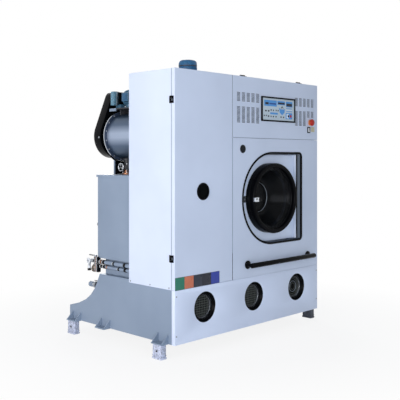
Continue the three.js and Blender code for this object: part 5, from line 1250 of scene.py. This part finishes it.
def makeFilterDrive():
    f = filterSet
    bm = bmesh.new()
    groovedWheel(bm, f["x"], f["z"], f["pulley"], f["rear"] + 8, 30)
    finishPiece("filterPulley", bm, "filter_pulley_body", ["castDark", "steel"], ["filter_pulley"])
    bm = bmesh.new()
    y, x, z = f["beltY"], f["x"], f["motorZ"]
    profile = [(0, y - 15), (33, y - 15), (34, y - 14), (34, y - 12), (25, y - 4), (25, y + 4), (34, y + 12),
               (34, y + 14), (33, y + 15), (0, y + 15)]
    lathe(bm, "y", (x, 0, z), profile, 40)
    band(bm, "y", (x, 0, z), 0, f["shaft"], 870, y, 24, 1)
    surfaces = ["castDark", "steel"]
    finishPiece("filterMotorPulley", bm, "filter_motor_pulley_body", surfaces,
                ["filter_motor_pulley"])
    bm = bmesh.new()
    lower, upper = (x, f["z"]), (x, z)
    outline = loopOutline(lower, 120.4, upper, 34.4, 28)
    sheetPlate(bm, "y", outline, [loopOutline(lower, 113.8, upper, 27.8, 28)], y - 3.4, y + 3.4)
    finishPiece("filterBelt", bm, "cabinet", ["rubber"], ["filter_belt"])
    bm = bmesh.new()
    outer = loopOutline(lower, f["guardRadius"], upper, f["guardTop"], 32)
    inner = loopOutline(lower, f["guardRadius"] - 3, upper, f["guardTop"] - 3, 32)
    sheetPlate(bm, "y", outer, [inner], f["guardFront"], f["guardRear"] - 2, 1.4, 0, 3)
    sheetPlate(bm, "y", outer, [], f["guardRear"] - 3, f["guardRear"], 2.2, 0, 3)
    sheetPlate(bm, "y", outer, [circle(x, f["z"], 18, 32), circle(x, z, 18, 32)], f["guardFront"],
               f["guardFront"] + 3, 1.4, 0, 3)
    for side in (-1, 1):
        slab(bm, (x + side * 100 - 12, f["rear"] + f["thick"] + 0.3, f["z"] - 40),
             (x + side * 100 + 12, f["guardFront"] + 1, f["z"] + 40), 1.5)
    lathe(bm, "x", (x - f["guardRadius"], 946, f["z"] - 9), [(0, -1.6), (7, -1.6), (8, 0), (8, 3), (0, 3)],
          24, 1)
    for dx, dz in ((-120, -60), (120, -60), (0, 150), (-34, 300), (34, 300)):
        screwHead(bm, "y", (x + dx, f["guardRear"] - 0.3, f["z"] + dz), 5, 0.2, 1, 1)
    finishPiece("beltGuard", bm, "cabinet", ["gloss", "zinc"], ["belt_guard"])


makeFilter()
makeFilterMotor()
makeFilterDrive()
print("filter done")

# Pipes, valves and fittings on the left.
# The collars are a flanged joint on the upper pipe, and a black union with copper on the lower one.
pipeSet = {"start": 460.3, "clamps": (507, 740), "plate": 45.7,
           "feed": {"x": 15, "z": 557, "radius": 14, "end": 815.7, "union": 630, "bore": 12,
                    "collars": ((748, 764, 16, 1), (764, 769, 16.4, 3), (769, 778, 15, 1),
                                (778, 783, 16.4, 4), (783, 794, 15.6, 1), (794, 799, 16.4, 3),
                                (799, 812, 15.6, 1))},
           "back": {"x": 18, "z": 524, "radius": 11, "end": 806.7, "union": 580, "bore": 9,
                    "collars": ((716, 728, 12.6, 4), (748, 764, 13, 1), (764, 769, 13.4, 3),
                                (769, 794, 12.6, 1), (794, 799, 13.4, 3), (799, 806, 13, 1))}}


# Short collars along a pipe, each as its start, end, radius and finish, with softened rims.
def collars(bm, x, z, bore, parts):
    for start, end, radius, finish in parts:
        profile = [(bore, start), (radius - 0.8, start), (radius, start + 0.8), (radius, end - 0.8),
                   (radius - 0.8, end), (bore, end)]
        lathe(bm, "y", (x, 0, z), profile, 40, finish, closed=True)


def makeLongPipe(name, node, p):
    bm = bmesh.new()
    r, x, z, y = p["radius"], p["x"], p["z"], p["union"]
    centre = (x, 0, z)
    band(bm, "y", centre, 0, r - 0.6, pipeSet["start"], p["end"], 32)
    union = [(r - 1, y), (r + 0.6, y), (r + 2.6, y + 2), (r + 2.6, y + 15), (r + 0.6, y + 17),
             (r - 1, y + 17)]
    lathe(bm, "y", centre, union, 8, 1, closed=True, edge=0.5)
    band(bm, "y", centre, r - 1, r, y + 17, y + 24, 32, 2)
    for y in pipeSet["clamps"]:
        clamp = [(r - 1, y), (r + 2.4, y), (r + 3, y + 0.6), (r + 3, y + 19.4), (r + 2.4, y + 20),
                 (r - 1, y + 20)]
        lathe(bm, "y", centre, clamp, 32, 1, closed=True)
        slab(bm, (x, y, z - 5), (pipeSet["plate"], y + 20, z + 5), 1, 1)
    collars(bm, x, z, p["bore"], p["collars"])
    finishPiece(name, bm, "cabinet", ["grey", "black", "bright", "paleRing", "copper"], [node])


valve = {"x": 15, "z": 557, "start": 816, "spindle": 856, "dropPipe": 10.6, "reach": 74}
# Plates bolted face to face, as offsets from the joint and the index of their finish.
flangeStack = ((0, 9, 0), (9, 14, 4), (14, 22, 0), (22, 27, 5), (27, 32, 4), (32, 43, 0))


def makeRearValve():
    bm = bmesh.new()
    x, z, start = valve["x"], valve["z"], valve["start"]
    for near, far, finish in flangeStack:
        outline = roundedBox(x - 15.4, x + 15.4, z - 15.4, z + 33, 7, 4)
        sheetPlate(bm, "y", outline, [], start + near, start + far, 0.7, finish)
    profile = [(0, 40), (13, 40), (14, 44), (14, 56), (12, 61), (0, 61)]
    lathe(bm, "y", (x, start, z), profile, 32, 3)
    profile = [(0, 60), (13, 60), (15.4, 64), (15.4, 82), (14, 84), (0, 84)]
    lathe(bm, "y", (x, start, z), profile, 6, 1, edge=0.4)
    profile = [(0, 10), (9, 10), (9, 22), (8, 24), (8, 34), (0, 34)]
    lathe(bm, "z", (x, start + 40, z), profile, 24, 1)
    pipeRun(bm, [(x, start + 80, z), (x, start + 104, z - 4), (x, start + 116, z - 26),
                 (x, start + 118, z - 60), (x, start + 118, z - 78)], valve["dropPipe"], 2)
    profile = [(10, -78), (13, -77), (13, -62), (10, -61)]
    lathe(bm, "z", (x, start + 118, z), profile, 32, closed=True)
    profile = [(0, -1), (7, -1), (8, 1), (20, 1), (21, 2), (21, 6), (12, 7), (0, 7)]
    lathe(bm, "x", (0, start + 112, z - 4), profile, 40, 4)
    profile = [(0, -3.4), (6, -3.4), (8, -1.4), (8, 1.5), (0, 1.5)]
    lathe(bm, "x", (0, start + 112, z - 4), profile, 6, 1, edge=0.4)
    surfaces = ["black", "zinc", "bright", "castDark", "paleRing", "copper"]
    finishPiece("rearValve", bm, "cabinet", surfaces, ["rear_valve"])
    bm = bmesh.new()
    y, top = valve["spindle"], z + 34.3
    lathe(bm, "z", (x, y, top), [(0, 0), (12, 0), (12, 7), (9, 10), (0, 10)], 24, 1)
    outline = roundedBox(x - 7, x + 7, y - 4, y + valve["reach"], 6, 5)
    sheetPlate(bm, "z", outline, [], top + 2, top + 5.4, 0.7, 1)
    outline = roundedBox(x - 7, x + 7, y + 20, y + valve["reach"], 6, 5)
    sheetPlate(bm, "z", outline, [], top + 1.6, top + 8, 1.8, 0, 3)
    surfaces = ["black", "zinc"]
    finishPiece("rearValveHandle", bm, "valve_handle_body", surfaces, ["rear_valve_handle"])


strainer = {"x": 18, "z": 524, "start": 807, "tilt": -140}


def makeStrainer():
    bm = bmesh.new()
    x, z, start = strainer["x"], strainer["z"], strainer["start"]
    profile = [(0, 0), (14, 0), (14, 9), (12, 10), (0, 10)]
    lathe(bm, "y", (x, start, z), profile, 8, 1, edge=0.4)
    for near, far, finish in flangeStack:
        outline = roundedBox(x - 18, x + 13, z - 46, z + 14.6, 7, 4)
        sheetPlate(bm, "y", outline, [], start + 9 + near, start + 9 + far, 0.7, {0: 1, 4: 3, 5: 4}[finish])
    profile = [(0, 16), (12, 16), (15, 28), (15, 56), (12, 66), (12, 70), (0, 70)]
    lathe(bm, "y", (x, start, z), profile, 32)
    turn = turnAt((x, start + 46, z - 2), math.radians(strainer["tilt"]), "X")
    profile = [(0, 0), (20, 0), (22, 4), (24, 8), (25, 14), (25, 36), (22, 42), (18, 48), (15, 50), (0, 50)]
    lathe(bm, "z", (0, 0, 0), profile, 40, turn=turn)
    lathe(bm, "z", (0, 0, 0), [(24, 18), (26, 19), (26, 23), (24, 24)], 40, 2, closed=True, turn=turn)
    surfaces = ["bronze", "black", "castDark", "paleRing", "copper"]
    finishPiece("strainerBody", bm, "cabinet", surfaces, ["strainer"])


drainValve = {"x": 278, "y": 812, "low": 1188.3, "top": 1307.7, "radius": 26, "studs": 33, "wheel": 28,
              "spokes": 3}


def makeFilterDrain():
    bm = bmesh.new()
    x, y, low, top, r, studs = [drainValve[key] for key in ("x", "y", "low", "top", "radius", "studs")]
    profile = [(0, 0), (r + 16, 0), (r + 16, 8), (r + 14, 10), (r - 2, 10), (r - 4, 34), (0, 34)]
    lathe(bm, "z", (x, y, low), profile, 40, 1)
    profile = [(0, 34), (r + 6, 34), (r + 14, 40), (r + 14, 68), (r + 6, 72), (r, 73), (0, 73)]
    lathe(bm, "z", (x, y, low), profile, 40)
    profile = [(0, low + 72), (r - 1, low + 72), (r - 1, top - 13), (r + 9, top - 13), (r + 10, top - 12),
               (r + 10, top - 1), (0, top - 1)]
    lathe(bm, "z", (x, y, 0), profile, 40, 2)
    for across, along in ((-1, -1), (-1, 1), (1, -1), (1, 1)):
        rod = (x + across * studs * math.sqrt(0.5), y + along * studs * math.sqrt(0.5))
        band(bm, "z", (*rod, 0), 0, 4, low + 5, low + 80, 16, 3)
        hexHead(bm, "z", (*rod, low + 76), 6.5, 6, 3)
    surfaces = ["castDark", "copper", "darkPaint", "zinc"]
    finishPiece("filterDrainValve", bm, "cabinet", surfaces, ["filter_drain"])
    bm = bmesh.new()
    z, hub = low + 54, x - r - 14.3
    lathe(bm, "x", (hub, y, z), [(0, -26), (6, -26), (7, -25), (7, -8), (12, -7), (12, 0), (0, 0)], 24, 1)
    lathe(bm, "x", (hub, y, z), circle(drainValve["wheel"], -22, 4, 12), 48, closed=True)
    for i in range(drainValve["spokes"]):
        turn = turnAt((hub, y, z), 2 * math.pi * i / drainValve["spokes"], "X")
        slab(bm, (-24, -3, 4), (-20, 3, 27), 1.2, 0, 2, turn)
    finishPiece("drainWheel", bm, "drain_wheel_body", ["bright", "castDark"], ["drain_wheel"])


fittings = {"x": 60, "knob": 823, "drain": 369}


# Fittings that sit on a kept CAD piece: the still's knob and the tank's drain.
def makeFittings():
    bm = bmesh.new()
    knob, drain = (fittings["x"], 0, fittings["knob"]), (fittings["x"], 0, fittings["drain"])
    profile = [(9.2, 837), (9.4, 853), (18, 854.4), (20.4, 856), (20.4, 869), (18, 873), (14.3, 875.4),
               (0, 875.6), (0, 874), (9, 874)]
    lathe(bm, "y", knob, profile, 40)
    profile = [(17.2, 834), (18, 836), (18, 860), (22, 866), (22, 880), (18, 886), (17.2, 900.6)]
    lathe(bm, "y", drain, profile, 32, 1)
    profile = [(17, 899.6), (24.4, 899.6), (25, 901), (25, 917), (24.4, 918.4), (14.4, 922.2), (14, 918)]
    lathe(bm, "y", drain, profile, 8, 2, edge=0.5)
    lathe(bm, "y", drain, [(14.2, 921), (14.6, 923), (14.6, 943), (14.2, 944.2)], 32, 3)
    lathe(bm, "z", (fittings["x"], 873, 0), [(8, 386), (8, 396), (5, 397), (5, 402), (0, 402)], 24, 2)
    slab(bm, (fittings["x"] - 6, 868, 399), (fittings["x"] + 6, 925, 402), 1, 4)
    surfaces = ["black", "castDark", "zinc", "bright", "rubber"]
    finishPiece("sideFittings", bm, "cabinet", surfaces)


makeLongPipe("feedPipe", "feed_pipe", pipeSet["feed"])
makeLongPipe("returnPipe", "return_pipe", pipeSet["back"])
makeRearValve()
makeStrainer()
makeFilterDrain()
makeFittings()
print("pipes done")

# Fan cap, tub, drive and pump.
fan = {"x": 473, "y": 360, "top": 2025, "radius": 68, "flange": 77, "base": 1895.3, "ribs": 36}


def makeFanCap():
    bm = bmesh.new()
    f = fan
    top, r, base = f["top"], f["radius"], f["base"]
    centre = (f["x"], f["y"], 0)
    profile = [(0, top), (20, top - 0.4), (r - 24, top - 2), (r - 14, top - 5), (r - 7, top - 10),
               (r - 3, top - 17), (r - 1, top - 26), (r, top - 36), (r, top - 42), (r - 5, top - 43),
               (r - 5, top - 49), (r, top - 50), (r - 2, top - 54), (r - 3, top - 58), (r - 3, base + 16),
               (r, base + 12), (f["flange"], base + 8), (f["flange"], base), (r, base), (r, base - 30),
               (16, base - 30), (16, base - 26), (0, base - 26)]
    lathe(bm, "z", centre, profile)
    for i in range(f["ribs"]):
        turn = turnAt(centre, 2 * math.pi * i / f["ribs"], "Z")
        slab(bm, (r - 6, -1.4, base + 14), (r - 0.2, 1.4, top - 56), 0.6, 0, 1, turn)
    for low in (top - 49.4, base + 13):
        band(bm, "z", centre, r - 6, r - 1.2, low, low + 6.6, 64, 1)
    lathe(bm, "z", centre, [(0, top - 0.6), (14, top - 0.6), (14, top - 0.2), (11, top), (0, top)], 32, 1)
    boltCircle(bm, hexHead, "z", (f["x"], f["y"], base + 8), 72.5, 6, math.pi / 6, 4, 3, 1)
    finishPiece("fanCap", bm, "cabinet", ["fanBlue", "castDark"], ["fan_motor"])


tubSet = {"radius": 430, "front": 58, "rear": 700, "mouth": 246, "saddleHalf": 210,
          "saddles": ((120, 450.3), (550, 471.3)), "pipeHole": 300, "low": 450.3}


def makeTub():
    bm = bmesh.new()
    t = tubSet
    x, z, r = door["x"], door["z"], t["radius"]
    centre = (x, 0, z)
    front, rear, mouth, side = t["front"], t["rear"], t["mouth"], t["saddleHalf"]
    wall = [(mouth, front), (r - 8, front), (r - 3, front + 2), (r, front + 7), (r, rear - 6),
            (r - 2, rear - 2), (r - 7, rear), (50, rear), (50, rear - 4), (r - 6, rear - 4),
            (r - 4, rear - 6), (r - 4, front + 6), (r - 6, front + 4), (mouth, front + 4)]
    lathe(bm, "y", centre, wall, 112, closed=True)
    for radius in (395, 250):
        weld = [(radius - 8, rear - 0.5), (radius - 5, rear + 0.2), (radius + 5, rear + 0.2),
                (radius + 8, rear - 0.5)]
        lathe(bm, "y", centre, weld, 96)
    top = z - r + 89
    turn = math.degrees(math.acos(side / (r - 3)))
    cradle = arc(x, z, r - 2, -turn, turn - 180, 40)
    for y, low in t["saddles"]:
        saddle = [(x + side, low), (x + side, top)] + cradle + [(x - side, top), (x - side, low)]
        sheetPlate(bm, "y", saddle, [circle(x, 515, 26, 32)] if y > t["pipeHole"] else [], y, y + 12, 1, 1)
    low, top = t["low"], z - r
    slab(bm, (x - 90, 230, low), (x + 90, 400, top - 24), 4)
    slab(bm, (x - 60, 260, top - 26), (x + 60, 370, top + 2), 1)
    slab(bm, (x - 100, 222, low + 6), (x + 100, 231, top - 30), 2, 2)
    for dx in (-80, 80):
        profile = [(0, 214.4), (8, 214.4), (10, 217), (10, 223), (0, 223)]
        lathe(bm, "y", (x + dx, 0, (low + top) / 2 - 12), profile, 24, 2)
    finishPiece("tubShell", bm, "cabinet", ["steel", "grey", "castDark"], ["tub"], 26)


drive = {"front": 796, "width": 38, "radius": 230, "rim": 16, "spokes": 5, "motorX": 1425, "motorZ": 575,
         "motorRadius": 84, "motorFront": 564, "motorRear": 784, "small": 46, "deck": 471.3, "housing": 95,
         "housingFront": 700.3, "housingRear": 788.3}


def makeHousing():
    bm = bmesh.new()
    d = drive
    x, z, front, rear, r = door["x"], door["z"], d["housingFront"], d["housingRear"], d["housing"]
    profile = [(31, front), (r + 60, front), (r + 60, front + 8), (r + 58, front + 10), (r + 4, front + 12),
               (r, front + 16), (r - 16, rear - 14), (r - 20, rear - 8), (r - 28, rear), (31, rear)]
    lathe(bm, "y", (x, 0, z), profile, closed=True)
    boltCircle(bm, hexHead, "y", (x, front + 9.6, z), 128, 8, math.pi / 8, 12, 9, 1)
    for i in range(4):
        turn = turnAt((x, 0, z), math.radians(45 + 90 * i), "Y")
        slab(bm, (110, front, -22), (330, front + 6, 22), 1, 0, 2, turn)
        slab(bm, (70, front, -5), (326, front + 30, 5), 2, 0, 2, turn)
        for reach in (200, 310):
            for side in (-14, 14):
                place = turn @ Vector((reach, front + 6, side))
                hexHead(bm, "y", place, 8, 6, 1)
    band(bm, "y", (x, 0, z), 31, 58, rear - 0.5, rear + 0.2, 48, 1)
    finishPiece("bearingHousing", bm, "cabinet", ["castDark", "zinc"], ["bearing_housing"])


def vGrooves(radius, start, width, grooves):
    pitch = (width - 8) / grooves
    points = [(radius + 3, start), (radius + 4, start + 1), (radius + 4, start + 3)]
    for i in range(grooves):
        at = start + 4 + i * pitch
        points += [(radius + 1, at + 0.6), (radius - 6, at + pitch * 0.36), (radius - 6, at + pitch * 0.64),
                   (radius + 1, at + pitch - 0.6)]
    return points + [(radius + 4, start + width - 3), (radius + 4, start + width - 1),
                     (radius + 3, start + width)]


def makeCagePulley():
    bm = bmesh.new()
    d = drive
    x, z, y0, y1, r = door["x"], door["z"], d["front"], d["front"] + d["width"], d["radius"]
    profile = [(r - d["rim"], y0)] + vGrooves(r, y0, d["width"], 3) + [(r - d["rim"], y1)]
    lathe(bm, "y", (x, 0, z), profile, 112, closed=True)
    profile = [(30.5, y0), (60, y0), (62, y0 + 2), (62, y1 - 2), (60, y1), (30.5, y1)]
    lathe(bm, "y", (x, 0, z), profile, 48, closed=True)
    for i in range(d["spokes"]):
        turn = turnAt((x, 0, z), 2 * math.pi * i / d["spokes"], "Y")
        spoke = [(50, -22), (90, -13), (r - d["rim"] - 26, -12), (r - d["rim"] + 3, -24),
                 (r - d["rim"] + 3, 24), (r - d["rim"] - 26, 12), (90, 13), (50, 22)]
        sheetPlate(bm, "y", spoke, [], y0 + 10, y1 - 10, 3, 0, 3, turn)
    boltCircle(bm, hexHead, "y", (x, y1, z), 46, 3, math.pi / 6, 8, 5, 1)
    finishPiece("cagePulley", bm, "cage_body", ["castDark", "zinc"], ["cage_pulley"])


def makeDriveBelt():
    bm = bmesh.new()
    d = drive
    first, second = (door["x"], door["z"]), (d["motorX"], d["motorZ"])
    y0, y1 = d["front"] + 9, d["front"] + d["width"] - 9

    def loop(grow):
        return loopOutline(first, d["radius"] + grow, second, d["small"] + grow, 40)

    sheetPlate(bm, "y", loop(10.2), [loop(4.6)], y0, y1, 1)
    pitch = (y1 - y0) / 3
    for i in range(3):
        sheetPlate(bm, "y", loop(5), [loop(2.6)], y0 + i * pitch + 1, y0 + (i + 1) * pitch - 1, 0.4)
    finishPiece("driveBelt", bm, "cabinet", ["rubber"], ["drive_belt"])


def makeDriveMotor():
    bm = bmesh.new()
    d = drive
    x, z, r, front, rear = d["motorX"], d["motorZ"], d["motorRadius"], d["motorFront"], d["motorRear"]
    profile = [(0, front), (r * 0.72, front + 0.5), (r * 0.86, front + 4), (r * 0.95, front + 12),
               (r * 0.95, front + 46), (r * 0.86, front + 50), (r * 0.86, rear - 18), (r - 1, rear - 17),
               (r - 1, rear - 6), (r * 0.55, rear), (17, rear), (17, rear - 20), (0, rear - 20)]
    lathe(bm, "y", (x, 0, z), profile)
    makeFins(bm, x, z, r * 0.82, r - 0.4, front + 50, rear - 16, 40, 0)
    for side in (-1, 1):
        at = x + side * 60
        slab(bm, (at - 16, front + 55, d["deck"]), (at + 16, rear - 20, z - 44), 3)
    slab(bm, (x - 90, front + 45, d["deck"]), (x + 90, rear - 10, d["deck"] + 10), 2)
    for dx in (-80, 80):
        for y in (front + 62, rear - 30):
            hexHead(bm, "z", (x + dx, y, d["deck"] + 10), 9, 7, 1)
    slab(bm, (x - 34, front + 70, z + r * 0.7), (x + 34, front + 140, z + r - 0.5), 3, 1, 3)
    finishPiece("driveMotor", bm, "cabinet", ["blueDark", "castDark"], ["drive_motor"])
    bm = bmesh.new()
    y0, y1, small = d["front"], d["front"] + d["width"], d["small"]
    hollow = [(small - 8, y1), (small - 12, y1 - 6), (24, y1 - 6), (22, y1), (0, y1)]
    profile = [(0, y0)] + vGrooves(small, y0, d["width"], 3) + hollow
    lathe(bm, "y", (x, 0, z), profile, 56)
    band(bm, "y", (x, 0, z), 0, 16, 744, y0 + 2, 32, 1)
    finishPiece("motorPulley", bm, "motor_pulley_body", ["castDark", "steel"], ["motor_pulley"])


pump = {"x": 690, "start": 480, "z": 557, "radius": 70, "motor": 54, "length": 166, "deck": 471.3}


def makePump():
    bm = bmesh.new()
    p = pump
    x, z, s, r, m = p["x"], p["z"], p["start"], p["radius"], p["motor"]
    profile = [(0, s), (24, s), (26, s + 4), (r - 14, s + 4), (r - 4, s + 8), (r, s + 14), (r, s + 42),
               (r - 6, s + 48), (r - 16, s + 55), (0, s + 56)]
    lathe(bm, "y", (x, 0, z), profile, 48, 1)
    profile = [(0, 0), (20, 0), (20, 72), (30, 74), (32, 76), (32, 83), (30, 84), (13, 84), (13, 60), (0, 60)]
    lathe(bm, "z", (x, s + 28, z + 20), profile, 40, 1)
    start = s + 55
    profile = [(0, start), (m * 0.9, start), (m, start + 6), (m, start + 20), (m * 0.86, start + 24),
               (m * 0.86, start + 120), (m, start + 124), (m, start + 150), (m - 4, start + 160),
               (m - 12, start + p["length"]), (0, start + p["length"])]
    lathe(bm, "y", (x, 0, z), profile, 48)
    makeFins(bm, x, z, m * 0.82, m - 0.4, start + 24, start + 124, 28, 0)
    slab(bm, (x - 50, s + 70, p["deck"]), (x + 50, s + 200, p["deck"] + 10), 2)
    for dx in (-30, 30):
        slab(bm, (x + dx - 8, s + 80, p["deck"] + 8), (x + dx + 8, s + 190, z - 34), 3)
    boltCircle(bm, hexHead, "y", (x, s + 5, z), 46, 6, 0, 6, 4.6, 2, -1)
    slab(bm, (x - 30, start + 44, z + m * 0.7), (x + 30, start + 100, z + m - 0.5), 3, 1, 3)
    surfaces = ["blueDark", "castDark", "zinc"]
    finishPiece("solventPump", bm, "cabinet", surfaces, ["solvent_pump"])


# In metres, as the CAD piece is.
relays = {"plate": 0.18, "contactorDepth": 0.0605, "rowsLow": 1.49, "paleTop": 1.61}


# The contactors and relays keep their CAD boxes and take dark and pale mouldings.
def paintRelays():
    plate = nodes["electrical_plate"]
    plate.data.materials.append(finishes["matt"])
    plate.data.materials.append(finishes["rockerWhite"])
    front = corner.y + relays["plate"]
    for face in plate.data.polygons:
        proud = front - face.center.y
        height = face.center.z
        if proud > relays["contactorDepth"]:
            face.material_index = 1
        elif proud > 0.0005 and height > relays["rowsLow"]:
            face.material_index = 2 if height < relays["paleTop"] else 1


makeFanCap()
makeTub()
makeHousing()
makeCagePulley()
makeDriveBelt()
makeDriveMotor()
makePump()
paintRelays()
print("drive done")
